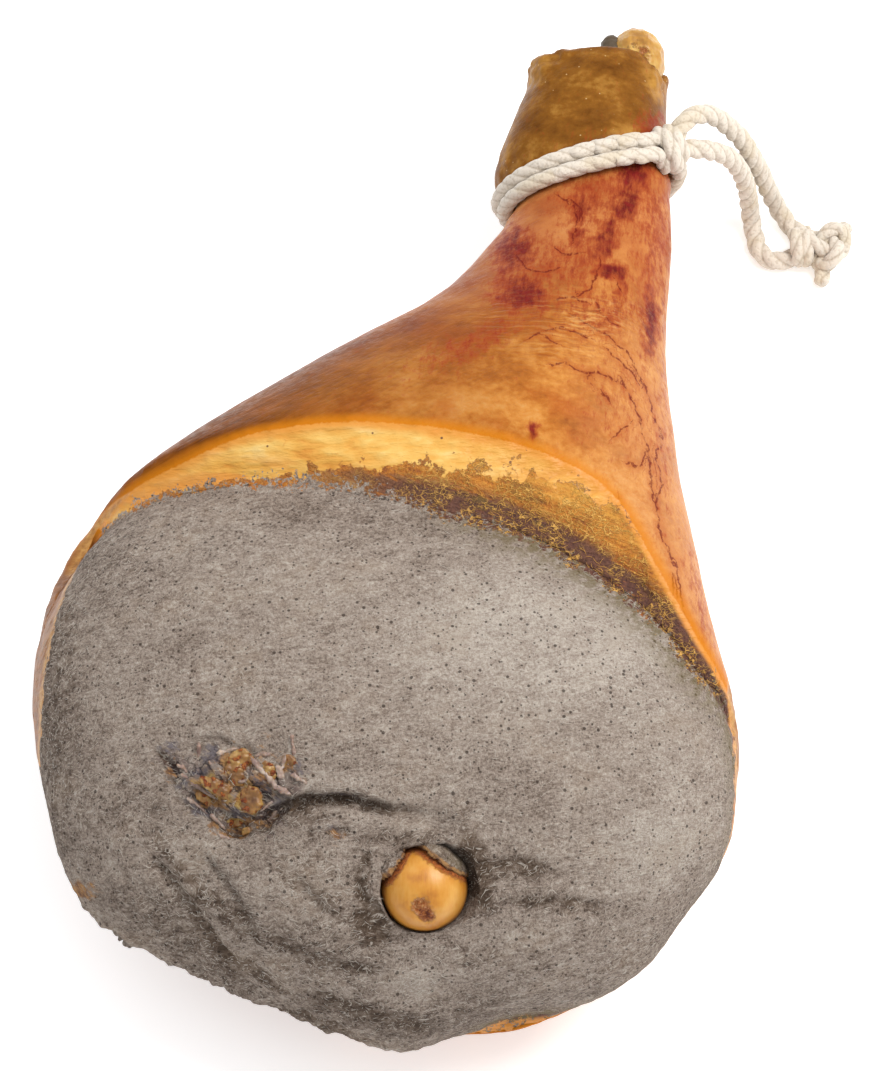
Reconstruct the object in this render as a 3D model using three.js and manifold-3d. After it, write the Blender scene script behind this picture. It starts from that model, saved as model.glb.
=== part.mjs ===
// A bone-in dry-cured ham with its hanging rope, lying on its rind with the cut face up.
// Units are millimetres and +Z is up. +Y runs from the butt end to the hock, and +X to the shin side.
import * as THREE from "three";
import { mergeVertices } from "three/addons/utils/BufferGeometryUtils.js";
import Module from "manifold-3d";

const wasm = await Module();
wasm.setup();

// The leg under its rind, as sections across Y: the reach to each side, to the floor and to the top,
// the height where a section is widest, and the place across of its crown.
const LEG = [
  { y: -260, left: -30, right: 45, low: 33, high: 82, widest: 58, crown: 8 },
  { y: -254, left: -52, right: 82, low: 19, high: 100, widest: 61, crown: 7 },
  { y: -243, left: -76, right: 107, low: 8, high: 119, widest: 68, crown: 5 },
  { y: -230, left: -108, right: 120, low: 2, high: 134, widest: 74, crown: 3 },
  { y: -217, left: -130, right: 131, low: -2, high: 146, widest: 80, crown: 2 },
  { y: -200, left: -145, right: 146, low: -5, high: 156, widest: 86, crown: 1 },
  { y: -182, left: -153, right: 154, low: -7, high: 163, widest: 91, crown: 0 },
  { y: -140, left: -163, right: 158, low: -9, high: 172, widest: 96, crown: 0 },
  { y: -92, left: -163, right: 148, low: -9, high: 174, widest: 98, crown: 0 },
  { y: -45, left: -153, right: 141, low: -8, high: 168, widest: 98, crown: 4 },
  { y: -5, left: -116, right: 136, low: -5, high: 158, widest: 94, crown: 18 },
  { y: 30, left: -76, right: 134, low: 0, high: 145, widest: 88, crown: 36 },
  { y: 65, left: -33, right: 133, low: 8, high: 131, widest: 82, crown: 58 },
  { y: 100, left: 15, right: 135, low: 18, high: 119, widest: 76, crown: 82 },
  { y: 138, left: 44, right: 139, low: 28, high: 109, widest: 72, crown: 97 },
  { y: 168, left: 61, right: 140, low: 34, high: 101, widest: 68, crown: 102 },
  { y: 196, left: 52, right: 140, low: 27, high: 106, widest: 66, crown: 100 },
  { y: 226, left: 60, right: 140, low: 25, high: 107, widest: 66, crown: 102 },
  { y: 245, left: 67, right: 141, low: 27, high: 105, widest: 66, crown: 106 },
  { y: 254, left: 70, right: 140, low: 31, high: 101, widest: 66, crown: 107 },
  { y: 247, left: 82, right: 130, low: 42, high: 90, widest: 66, crown: 107 },
];

// The lean inside it, bare on the cut face and at the butt end.
const LEAN = [
  { y: -271.5, left: 2, right: 15, low: 57, high: 68, widest: 62, crown: 8 },
  { y: -268, left: -14, right: 32, low: 43, high: 82, widest: 62, crown: 8 },
  { y: -262, left: -37, right: 55, low: 37, high: 96, widest: 65, crown: 8 },
  { y: -256, left: -56, right: 88, low: 32, high: 108, widest: 67, crown: 7 },
  { y: -245, left: -78, right: 110, low: 27, high: 122, widest: 71, crown: 5 },
  { y: -232, left: -111, right: 123, low: 24, high: 134, widest: 77, crown: 3 },
  { y: -219, left: -132, right: 134, low: 22, high: 142, widest: 82, crown: 2 },
  { y: -202, left: -144, right: 147, low: 19, high: 150, widest: 87, crown: 1 },
  { y: -184, left: -151, right: 153, low: 18, high: 155, widest: 91, crown: 0 },
  { y: -142, left: -160, right: 154, low: 17, high: 160, widest: 96, crown: 0 },
  { y: -100, left: -160, right: 138, low: 17, high: 158, widest: 98, crown: -4 },
  { y: -66, left: -150, right: 108, low: 18, high: 151, widest: 98, crown: -10 },
  { y: -40, left: -134, right: 84, low: 22, high: 142, widest: 94, crown: -14 },
  { y: -10, left: -97, right: 72, low: 28, high: 125, widest: 87, crown: -8 },
  { y: 28, left: -48, right: 68, low: 42, high: 102, widest: 76, crown: 20 },
  { y: 58, left: 6, right: 56, low: 58, high: 84, widest: 72, crown: 32 },
];

// The cut edge of the rind and the foot of the fat below it, across X and along Y, from the calf side
// to the shin side.
const RIND_EDGE = [
  [-178, -50], [-140, -26], [-110, -16], [-66, -13], [-20, -11], [26, -17], [72, -29], [101, -46],
  [122, -84], [144, -119], [178, -150],
];
const FAT_FOOT = [
  [-178, -78], [-146, -48], [-118, -36], [-82, -33], [-42, -37], [3, -50], [50, -60], [92, -82],
  [117, -101], [137, -126], [178, -168],
];
const RIND_THICK = 2.5;
// The height of the rind's lip round the thigh, from beyond the butt end to the fat's foot.
const LIP = [
  [-330, 6], [-266, 36], [-240, 52], [-208, 72], [-160, 92], [-110, 106], [-60, 112],
];
const LIP_STEPS = 12;
const LIP_COLUMNS = 32;
const RIND_STEP = 40; // how far the knife's wall rises over the rind's edge
const RIND_LEAN = 4; // how far that wall leans to the hock
const FOOT_SINK = 2; // how far the fat's foot runs in under the lean's surface
const FAT_BELLY = 3; // how far the fat swells between its foot and the rind
const LIP_POWER = 6; // how late the lip's level turns up to the fat's foot

const ROUNDNESS = { top: 2.25, bottom: 1.9 }; // the powers of a section's superellipse
const LEG_MESH = { steps: 44, around: 38 };
const LEAN_MESH = { steps: 34, around: 40 };
const GROWING_SHARE = 0.94; // of a body's rows, those before its end turns back
const SHANK_SHARE = 0.5; // of the leg's rows, those before its shank
const UPPER_SHARE = 0.64; // of a section's points, those on its upper half
const FIT_GAP = 0.3; // between pieces that touch
const ABOVE_ALL = 260; // a level over the whole ham
const SEARCH_STEPS = 24; // halvings in each search for a place along a curve
const SAME_POINT = 1e-4; // points as near as this are one

const FACE_FADE = { from: 50, to: 90 }; // the heights between which the face's relief grows to its full depth
// The cut face has its own plane: across is X, along runs up it to the hock, and out is its normal.
const FACE_TILT = THREE.MathUtils.degToRad(30);
const FEMUR = { across: 15.6, along: -135, out: 218, radius: 18.7, neck: 12, depth: 34 };
const HEAD_MESH = { around: 18, rings: 12 };
// The hollow that the femur's head sits in.
const SOCKET = [
  { across: 15, along: -134, out: 227, size: [26.5, 21.5, 17] },
  { across: 30, along: -127, out: 227, size: [10, 11, 10] },
];
// Hollows and swellings of the lean's face: where they are, how far they spread and how far they go in.
const FACE_RELIEF = [
  { across: -66, along: -96, spread: 24, depth: 6 },
  { across: 15, along: -120, spread: 34, depth: 4 },
  { across: 4, along: -196, spread: 20, depth: -7 },
  { across: -70, along: -186, spread: 26, depth: 4 },
  { across: -30, along: -64, spread: 36, depth: -4 },
];
// A crease under the face's brow, from the loose cartilage to above the femur.
const CREASE = [
  [-70, -111, 218], [-54, -103, 224], [-37, -96, 229], [-16, -95, 231], [6, -98, 231], [28, -107, 231],
];
const CREASE_CUT = { radius: 6, steps: 10, sides: 8 };
const LUMP_MESH = { around: 10, rings: 7 };
const CARTILAGE_LUMPS = [
  { across: -64, along: -96, out: 219, size: [9, 8, 9] },
  { across: -71, along: -85, out: 218, size: [10, 8, 8] },
  { across: -55, along: -86, out: 220, size: [9, 7, 8] },
  { across: -83, along: -88, out: 214, size: [9, 6, 7] },
];

const JOINT_LUMPS = [
  { at: [128, 257, 83], size: [14, 18, 15] },
  { at: [110, 249, 70], size: [19, 11, 17] },
];
const TENDON_LUMPS = [{ at: [111, 257, 86], size: [6, 10, 6] }];

const BAND = { radius: 4.1, spacing: 8.9, lift: 1.7, sides: 6, steps: 28 };
const BAND_PLANE = { x: 54, z: 70, y: 173.5, alongX: 0.31, alongZ: -0.32 };
const WRAP_MESH = { sides: 7, around: 12 };
const TAIL = { radius: 5.2, sides: 8, steps: 13 };
const TIP = { radius: 4.8, steps: 2 };
const TAIL_UPPER = [
  [142, 199, 96], [147, 206, 99], [153, 211, 98], [159, 214, 95], [165, 216, 89], [172, 217, 80],
  [179, 218, 69], [186, 218, 54], [192, 219, 39], [197, 219, 25], [202, 218, 13], [207, 213, 7],
  [212, 206, 5.6], [218, 202, 7],
];
const TAIL_LOWER = [
  [143, 194, 89], [150, 197, 88], [157, 199, 85], [164, 202, 79], [172, 206, 69], [179, 209, 54],
  [184, 211, 37], [187, 212, 21], [189, 209, 10], [191, 201, 5.6], [193, 192, 5.4], [199, 186, 5.4],
  [207, 186, 6], [216, 189, 8],
];
const HITCH = { at: [138, 192, 94], core: [8.5, 12, 9.5], ring: 8.5, tube: 4.6, turn: [0, Math.PI / 2, 0.4] };
const KNOT = {
  at: [228, 191, 11.8],
  core: [11, 12, 8.5],
  wraps: [
    { ring: 7, tube: 4.7, turn: [0.35, Math.PI / 2, 0.2] },
    { ring: 9.5, tube: 4.7, turn: [0.1, 0.2, 0] },
  ],
  tips: [[[227, 186, 9], [225, 172, 5.6]], [[230, 196, 10], [240, 205, 8]]],
};

const COLOURS = {
  rind: 0xc8742c, lean: 0x948677, bone: 0xdf9f4c, cartilage: 0x9a7440, tendon: 0x74675a, rope: 0xe2d6c4,
};

// Turning three.js geometry into solids and back

function solidOf(geometry) {
  const bare = geometry.index ? geometry.toNonIndexed() : geometry.clone();
  bare.deleteAttribute("normal");
  bare.deleteAttribute("uv");
  const merged = mergeVertices(bare, SAME_POINT);
  return new wasm.Manifold(new wasm.Mesh({
    numProp: 3,
    vertProperties: new Float32Array(merged.attributes.position.array),
    triVerts: new Uint32Array(merged.index.array),
  }));
}

function geometryOf(solid) {
  const mesh = solid.getMesh();
  const geometry = new THREE.BufferGeometry();
  geometry.setAttribute("position", new THREE.BufferAttribute(mesh.vertProperties, 3));
  geometry.setIndex(new THREE.BufferAttribute(mesh.triVerts, 1));
  geometry.computeVertexNormals();
  return geometry;
}

function joined(solids) {
  return solids.reduce((all, solid) => all.add(solid));
}

// Skins through rings of points

function skin(rings) {
  const width = rings[0].length;
  const positions = rings.flat().flatMap((p) => [p.x, p.y, p.z]);
  const index = [];
  for (let i = 0; i < rings.length - 1; i++) {
    for (let j = 0; j < width; j++) {
      const a = i * width + j;
      const b = i * width + ((j + 1) % width);
      index.push(a, b, a + width, b, b + width, a + width);
    }
  }
  const cap = (ring, start, turned) => {
    const middle = ring.reduce((sum, p) => sum.add(p), new THREE.Vector3()).divideScalar(width);
    const centre = positions.length / 3;
    positions.push(middle.x, middle.y, middle.z);
    for (let j = 0; j < width; j++) {
      const a = start + j;
      const b = start + ((j + 1) % width);
      index.push(...(turned ? [centre, a, b] : [centre, b, a]));
    }
  };
  cap(rings[0], 0, false);
  cap(rings.at(-1), (rings.length - 1) * width, true);
  const geometry = new THREE.BufferGeometry();
  geometry.setAttribute("position", new THREE.Float32BufferAttribute(positions, 3));
  geometry.setIndex(index);
  return geometry;
}

// Smooth curves through a table's rows, one for each of its columns.
function railsOf(rows) {
  const keys = Object.keys(rows[0]).filter((key) => key !== "y");
  const rail = (key) => new THREE.SplineCurve(rows.map((row) => new THREE.Vector2(row.y, row[key])));
  return Object.fromEntries(keys.map((key) => [key, rail(key)]));
}

function sectionPoint(rails, t, angle, grow = 0) {
  const at = Object.fromEntries(Object.entries(rails).map(([key, rail]) => [key, rail.getPoint(t).y]));
  const power = 2 / (Math.sin(angle) > 0 ? ROUNDNESS.top : ROUNDNESS.bottom);
  const bend = (value) => Math.sign(value) * Math.abs(value) ** power;
  const across = bend(Math.cos(angle));
  const up = bend(Math.sin(angle));
  const x = at.crown + across * (grow + (across > 0 ? at.right - at.crown : at.crown - at.left));
  const z = at.widest + up * (grow + (up > 0 ? at.high - at.widest : at.widest - at.low));
  return new THREE.Vector3(x, rails.crown.getPoint(t).x, z);
}

// How far along a curve its first coordinate reaches a value, where that coordinate only grows.
function timeAt(curve, value, [low, high] = [0, 1]) {
  for (let k = 0; k < SEARCH_STEPS; k++) {
    const middle = (low + high) / 2;
    [low, high] = curve.getPoint(middle).x < value ? [middle, high] : [low, middle];
  }
  return low;
}

// The height of a body's upper side over a place across X and along Y.
function topOf(rails, x, y) {
  const t = timeAt(rails.crown, y, [0, GROWING_SHARE]);
  const [left, right, high, widest, crown] =
    ["left", "right", "high", "widest", "crown"].map((key) => rails[key].getPoint(t).y);
  const away = Math.min(1, Math.abs(x - crown) / (x > crown ? right - crown : crown - left));
  return widest + (high - widest) * (1 - away ** ROUNDNESS.top) ** (1 / ROUNDNESS.top);
}

function loft(rows, { steps, around }, { grow = 0, shape = (point) => point } = {}) {
  const rails = railsOf(rows);
  const rings = [];
  for (let i = 0; i <= steps; i++) {
    const ring = [];
    for (let j = 0; j < around; j++) {
      const below = around * (1 - UPPER_SHARE);
      const halves = j < below ? j / below : 1 + (j - below) / (around - below);
      ring.push(shape(sectionPoint(rails, i / steps, -Math.PI * halves, grow)));
    }
    rings.push(ring);
  }
  if (grow) {
    rings[0].forEach((p) => (p.y -= grow));
    rings.at(-1).forEach((p) => (p.y += grow));
  }
  return skin(rings);
}

// The space above a sheet of points, up to a level plane.
function spaceAbove(rows, level) {
  return skin(rows.map((row) => [
    ...row.slice().reverse(),
    ...row.map((p) => new THREE.Vector3(p.x, p.y, level)),
  ]));
}

// A closed lump, placed by its middle and its reach along each axis.
function lump([x, y, z], [a, b, c], grow = 0, turn = 0) {
  const ball = new THREE.SphereGeometry(1, LUMP_MESH.around, LUMP_MESH.rings);
  ball.scale(a + grow, b + grow, c + grow);
  ball.rotateX(turn);
  ball.translate(x, y, z);
  return solidOf(ball);
}

function rope(points, { radius, steps, sides }, grow = 0) {
  const path = new THREE.CatmullRomCurve3(points.map((p) => new THREE.Vector3(...p)));
  const section = new THREE.Shape();
  section.absarc(0, 0, radius + grow, 0, 2 * Math.PI);
  return solidOf(new THREE.ExtrudeGeometry(section, { steps, extrudePath: path, curveSegments: sides / 2 }));
}

function wrap([x, y, z], { ring, tube, turn }, grow) {
  const torus = new THREE.TorusGeometry(ring, tube + grow, WRAP_MESH.sides, WRAP_MESH.around);
  torus.rotateX(turn[0]);
  torus.rotateY(turn[1]);
  torus.rotateZ(turn[2]);
  torus.translate(x, y, z);
  return solidOf(torus);
}

// Places on the cut face

function facePoint(across, along, out) {
  return [
    across,
    along * Math.cos(FACE_TILT) - out * Math.sin(FACE_TILT),
    along * Math.sin(FACE_TILT) + out * Math.cos(FACE_TILT),
  ];
}

function onFace(point) {
  return {
    across: point.x,
    along: point.y * Math.cos(FACE_TILT) + point.z * Math.sin(FACE_TILT),
    out: -point.y * Math.sin(FACE_TILT) + point.z * Math.cos(FACE_TILT),
  };
}

function pressFace(point) {
  const { across, along, out } = onFace(point);
  const share = THREE.MathUtils.smoothstep(point.z, FACE_FADE.from, FACE_FADE.to);
  const depths = FACE_RELIEF.map((r) => {
    const away = Math.hypot(across - r.across, along - r.along) / r.spread;
    return share * r.depth * Math.exp(-(away ** 2));
  });
  return point.set(...facePoint(across, along, out - depths.reduce((sum, depth) => sum + depth)));
}

// The leg's pieces

function legBody(grow = 0) {
  return solidOf(loft(LEG, LEG_MESH, { grow, shape: (point) => point.setZ(Math.max(point.z, 0)) }));
}

function leanBody(grow, shape) {
  return solidOf(loft(LEAN, LEAN_MESH, { grow, shape }));
}

// What the trimming knife took away: all that lies over the rind's lip and over the sloping fat.
function trimmings() {
  const legRails = railsOf(LEG);
  const leanRails = railsOf(LEAN);
  const edge = new THREE.SplineCurve(RIND_EDGE.map((p) => new THREE.Vector2(...p)));
  const foot = new THREE.SplineCurve(FAT_FOOT.map((p) => new THREE.Vector2(...p)));
  const lip = new THREE.SplineCurve(LIP.map((p) => new THREE.Vector2(...p)));
  const rows = Array.from({ length: LIP_STEPS + 4 }, () => []);
  for (let i = 0; i <= LIP_COLUMNS; i++) {
    const f = foot.getPoint(i / LIP_COLUMNS);
    const e = edge.getPoint(i / LIP_COLUMNS);
    const footHeight = topOf(leanRails, f.x, f.y) - FOOT_SINK;
    const edgeHeight = topOf(legRails, e.x, e.y) - RIND_THICK;
    for (let k = 0; k < LIP_STEPS; k++) {
      const share = k / LIP_STEPS;
      const y = THREE.MathUtils.lerp(LIP[0][0], f.y, share);
      const height = lip.getPoint(timeAt(lip, y)).y;
      rows[k].push(new THREE.Vector3(f.x, y, THREE.MathUtils.lerp(height, footHeight, share ** LIP_POWER)));
    }
    rows[LIP_STEPS].push(new THREE.Vector3(f.x, f.y, footHeight));
    const belly = { x: (f.x + e.x) / 2, y: (f.y + e.y) / 2, z: (footHeight + edgeHeight) / 2 + FAT_BELLY };
    rows[LIP_STEPS + 1].push(new THREE.Vector3(belly.x, belly.y, belly.z));
    rows[LIP_STEPS + 2].push(new THREE.Vector3(e.x, e.y, edgeHeight));
    rows[LIP_STEPS + 3].push(new THREE.Vector3(e.x, e.y + RIND_LEAN, edgeHeight + RIND_STEP));
  }
  return solidOf(spaceAbove(rows, ABOVE_ALL));
}

function femurHead(grow = 0) {
  const { across, along, out, radius, neck, depth } = FEMUR;
  const shaft = new THREE.CylinderGeometry(neck + grow, neck + grow, depth, HEAD_MESH.rings);
  shaft.rotateX(Math.PI / 2 + FACE_TILT);
  shaft.translate(...facePoint(across, along, out - depth / 2));
  const head = new THREE.SphereGeometry(radius + grow, HEAD_MESH.around, HEAD_MESH.rings);
  head.translate(...facePoint(across, along, out));
  return solidOf(head).add(solidOf(shaft));
}

function faceLumps(list, grow = 0) {
  return joined(list.map((l) => lump(facePoint(l.across, l.along, l.out), l.size, grow, FACE_TILT)));
}

function lumps(list, grow = 0) {
  return joined(list.map((l) => lump(l.at, l.size, grow)));
}

// The rope

// A strand round the shank, on the leg's own surface where a slanting plane meets it.
function bandSolid(shift) {
  const rails = railsOf(LEG);
  const p = BAND_PLANE;
  const points = [];
  for (let i = 0; i < BAND.steps; i++) {
    const angle = (2 * Math.PI * i) / BAND.steps;
    let [low, high] = [SHANK_SHARE, GROWING_SHARE];
    for (let k = 0; k < SEARCH_STEPS; k++) {
      const middle = (low + high) / 2;
      const at = sectionPoint(rails, middle, angle);
      const plane = p.y + shift + p.alongX * (at.x - p.x) + p.alongZ * (at.z - p.z);
      [low, high] = at.y < plane ? [middle, high] : [low, middle];
    }
    points.push(sectionPoint(rails, low, angle, BAND.radius + BAND.lift));
  }
  const path = new THREE.CatmullRomCurve3(points, true);
  return solidOf(new THREE.TubeGeometry(path, BAND.steps, BAND.radius, BAND.sides, true));
}

function hitch(grow = 0) {
  return lump(HITCH.at, HITCH.core, grow).add(wrap(HITCH.at, HITCH, grow));
}

function endKnot(grow = 0) {
  const wraps = KNOT.wraps.map((one) => wrap(KNOT.at, one, grow));
  const tips = KNOT.tips.map((points) => rope(points, { ...TAIL, ...TIP }, grow));
  return joined([lump(KNOT.at, KNOT.core, grow), ...wraps, ...tips]);
}

const joint = lumps(JOINT_LUMPS);
const jointSpace = lumps(JOINT_LUMPS, FIT_GAP);
const tendonSpace = lumps(TENDON_LUMPS, FIT_GAP);
const trimmed = legBody().subtract(trimmings()).subtract(leanBody(FIT_GAP));
const rind = trimmed.subtract(jointSpace).subtract(tendonSpace);
const crease = rope(CREASE.map((point) => facePoint(...point)), CREASE_CUT);
const carved = leanBody(0, pressFace).subtract(faceLumps(SOCKET)).subtract(crease);
const lean = carved.subtract(femurHead(FIT_GAP)).subtract(faceLumps(CARTILAGE_LUMPS, FIT_GAP));
const hitchSpace = hitch(FIT_GAP);
const knotSpace = endKnot(FIT_GAP);
const tails = (grow) => [TAIL_UPPER, TAIL_LOWER].map((points) => rope(points, TAIL, grow));
const tailSpace = joined(tails(FIT_GAP));
const [tailUpper, tailLower] = tails(0).map((tail) => tail.subtract(hitchSpace).subtract(knotSpace));
const band = (shift) => bandSolid(shift).subtract(hitchSpace).subtract(tailSpace);

const model = new THREE.Group();
function add(name, solid, colour, roughness) {
  const material = new THREE.MeshStandardMaterial({ color: colour, roughness, metalness: 0 });
  const mesh = new THREE.Mesh(geometryOf(solid), material);
  mesh.name = name;
  model.add(mesh);
}
add("rind_and_fat", rind, COLOURS.rind, 0.45);
add("lean_meat", lean, COLOURS.lean, 0.85);
add("femur_head", femurHead(), COLOURS.bone, 0.35);
add("loose_cartilage", faceLumps(CARTILAGE_LUMPS), COLOURS.cartilage, 0.5);
add("hock_joint_bone", joint, COLOURS.bone, 0.45);
add("hock_tendon", lumps(TENDON_LUMPS).subtract(jointSpace), COLOURS.tendon, 0.6);
add("rope_band_upper", band(BAND.spacing / 2), COLOURS.rope, 0.9);
add("rope_band_lower", band(-BAND.spacing / 2), COLOURS.rope, 0.9);
add("rope_hitch", hitch().subtract(legBody(FIT_GAP)), COLOURS.rope, 0.9);
const body = new THREE.Box3().setFromObject(model);
add("rope_tail_upper", tailUpper, COLOURS.rope, 0.9);
add("rope_tail_lower", tailLower, COLOURS.rope, 0.9);
add("rope_end_knot", endKnot(), COLOURS.rope, 0.9);

// The origin is below the middle of the ham and its band of rope, on the surface that it lies on.
const middle = body.getCenter(new THREE.Vector3());
model.position.set(-middle.x, -middle.y, -body.min.z);
const ham = new THREE.Group();
ham.add(model);
export default ham;
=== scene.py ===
"""A bone-in dry-cured ham tied with its hanging rope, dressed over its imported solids.

Blender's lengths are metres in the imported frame: +Z up, +Y to the hock, the floor at zero. Places on the
ham are written in millimetres in the ham's own drawing, and `placed` and `drawn` go between the two.
"""

import logging
import math
from contextlib import contextmanager
from dataclasses import dataclass
from enum import Enum
from typing import Iterator, Sequence, Union

import bmesh
import bpy
import numpy as np
from mathutils import Matrix, Vector, noise
from mathutils.bvhtree import BVHTree


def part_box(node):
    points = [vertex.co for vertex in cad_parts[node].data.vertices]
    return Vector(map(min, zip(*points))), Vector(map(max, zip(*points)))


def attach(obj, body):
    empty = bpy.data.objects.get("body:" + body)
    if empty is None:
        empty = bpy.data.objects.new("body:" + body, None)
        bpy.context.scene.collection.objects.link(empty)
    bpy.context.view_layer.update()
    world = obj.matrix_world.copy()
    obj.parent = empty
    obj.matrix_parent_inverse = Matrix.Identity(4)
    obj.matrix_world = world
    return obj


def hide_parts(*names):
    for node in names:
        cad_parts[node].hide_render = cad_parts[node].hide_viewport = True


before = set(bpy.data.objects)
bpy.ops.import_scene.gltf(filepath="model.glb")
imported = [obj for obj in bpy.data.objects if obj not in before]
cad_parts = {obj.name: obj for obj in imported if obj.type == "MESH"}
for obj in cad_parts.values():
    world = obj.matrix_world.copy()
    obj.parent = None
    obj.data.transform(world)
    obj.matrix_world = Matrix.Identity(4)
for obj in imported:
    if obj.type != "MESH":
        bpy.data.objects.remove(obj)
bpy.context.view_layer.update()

LOG = logging.getLogger("ham")
MM = 0.001
BODY = "root"
FACE_TILT = math.radians(30)  # the cut face leans this far from level
Array = np.ndarray
Thing = bpy.types.Object
Material = bpy.types.Material
Socket = bpy.types.NodeSocket
Number = Union[float, Socket]
Tint = Union[tuple, Socket]
Place = tuple[float, float, float]
Size = Union[float, Place]


class Slot(Enum):
    """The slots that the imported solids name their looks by."""

    RIND = "rind"
    LEAN = "lean"
    BONE = "bone"
    CARTILAGE = "cartilage"
    TENDON = "tendon"
    ROPE = "rope"


class Shows(Enum):
    """How much of the leg's outside a piece of flesh shows."""

    LEAN = 1
    CUT = 2
    RIND = 3


# The femur's head in the drawing: across the cut face, along it, out of it, and its radius.
HEAD_PLACE = (15.6, -135.0, 218.0)
HEAD_RADIUS = 18.7
# The knife's edge on the rind, across X and along Y, and the height of the rind's lip along Y.
RIND_EDGE = (
    (-178, -50), (-140, -26), (-110, -16), (-66, -13), (-20, -11), (26, -17), (72, -29), (101, -46),
    (122, -84), (144, -119), (178, -150),
)
RIND_LIP = ((-330, 6), (-266, 36), (-240, 52), (-208, 72), (-160, 92), (-110, 106), (-60, 112), (-26, 98))
# The plane that the rope's band lies in: y = y0 + by_x (x - x0) + by_z (z - z0).
BAND_PLANE = {"x0": 54.0, "z0": 70.0, "y0": 173.5, "by_x": 0.31, "by_z": -0.32}
# The routes of the rope's two tails, from the hitch to the knot at their end.
UPPER_TAIL = (
    (142, 199, 96), (147, 206, 99), (153, 211, 98), (159, 214, 95), (165, 216, 89), (172, 217, 80),
    (179, 218, 69), (186, 218, 54), (192, 219, 39), (197, 219, 25), (202, 218, 13), (207, 213, 7),
    (212, 206, 5.6), (218, 202, 7),
)
LOWER_TAIL = (
    (143, 194, 89), (150, 197, 88), (157, 199, 85), (164, 202, 79), (172, 206, 69), (179, 209, 54),
    (184, 211, 37), (187, 212, 21), (189, 209, 10), (191, 201, 5.6), (193, 192, 5.4), (199, 186, 5.4),
    (207, 186, 6), (216, 189, 8),
)


# The camera of the photograph: what it looks at in the drawing, from how far and how high, and its picture.
TARGET = (23.9, -19.1, 66.85)
DISTANCE = 1432.5
ELEVATION = math.radians(60)
PICTURE_MIDDLE = (443.5, 535.5)
PICTURE_FOCUS = 2975.0  # the distance of the picture's plane, in its pixels


def face_point(across: float, along: float, out: float) -> Place:
    """A drawing point from its place on the cut face.

    Args:
        across: millimetres to the shin side.
        along: millimetres up the face, to the hock.
        out: millimetres out along the face's normal.

    Returns:
        The point's x, y and z in the drawing.
    """
    lean, rise = math.sin(FACE_TILT), math.cos(FACE_TILT)
    return across, along * rise - out * lean, along * lean + out * rise


def drawing_origin() -> Vector:
    """Where the drawing's origin is in the frame, from the femur's head, which is placed in both."""
    low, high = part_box("femur_head")
    x, y, _ = face_point(*HEAD_PLACE)
    return Vector(((low.x + high.x) / 2 - x * MM, low.y + (HEAD_RADIUS - y) * MM, 0.0))


ORIGIN = drawing_origin()


def placed(points: Sequence) -> Array:
    """Drawing points, in millimetres, as points of the frame, in metres."""
    return np.asarray(points, float) * MM + np.array(ORIGIN)


def drawn(points: Sequence) -> Array:
    """Points of the frame, in metres, as drawing points, in millimetres."""
    return (np.asarray(points, float) - np.array(ORIGIN)) / MM


def in_picture(points: Array) -> Array:
    """Where points show in the photograph.

    Args:
        points: the points, in the drawing.

    Returns:
        Their places in its pixels, right and down from its corner.
    """
    away = points - np.array(TARGET)
    depth = DISTANCE - away @ (0, -math.cos(ELEVATION), math.sin(ELEVATION))
    up = away @ (0, math.sin(ELEVATION), math.cos(ELEVATION))
    scale = PICTURE_FOCUS / depth
    return np.stack([PICTURE_MIDDLE[0] + away[:, 0] * scale, PICTURE_MIDDLE[1] - up * scale], axis=1)


def step_between(low: float, high: float, values: Array) -> Array:
    """A smooth step from 0 at `low` to 1 at `high`."""
    share = np.clip((values - low) / (high - low), 0, 1)
    return share * share * (3 - 2 * share)


def bell(values: Array, wide: float) -> Array:
    """1 where a value is zero, falling to nothing on both sides over this width."""
    return np.exp(-((values / wide) ** 2))


def smooth_curve(points: Sequence, closed: bool = False, per_span: int = 14) -> Array:
    """A smooth curve through points.

    Args:
        points: the points, in any number of coordinates.
        closed: whether the last point joins the first.
        per_span: how many points stand for each span.

    Returns:
        The curve as an array of points.
    """
    p = np.asarray(points, float)
    before, after = (p[-1:], p[:2]) if closed else (2 * p[:1] - p[1:2], 2 * p[-1:] - p[-2:-1])
    q = np.concatenate([before, p, after])
    t = np.linspace(0, 1, per_span, endpoint=False)[:, None]
    spans = []
    for a, b, c, d in zip(q, q[1:], q[2:], q[3:]):
        bend = (2 * a - 5 * b + 4 * c - d) * t**2 + (3 * b - a - 3 * c + d) * t**3
        spans.append((2 * b + (c - a) * t + bend) / 2)
    return np.concatenate(spans if closed else [*spans, p[-1:]])


def even_steps(curve: Array, step: float) -> Array:
    """The same curve with its points an even step apart.

    Args:
        curve: the curve's points.
        step: how far apart they are to be.

    Returns:
        The new points.
    """
    lengths = np.linalg.norm(np.diff(curve, axis=0), axis=1)
    at = np.concatenate([[0], np.cumsum(lengths)])
    places = np.linspace(0, at[-1], max(3, round(at[-1] / step) + 1))
    return np.stack([np.interp(places, at, curve[:, k]) for k in range(curve.shape[1])], axis=1)


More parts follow.
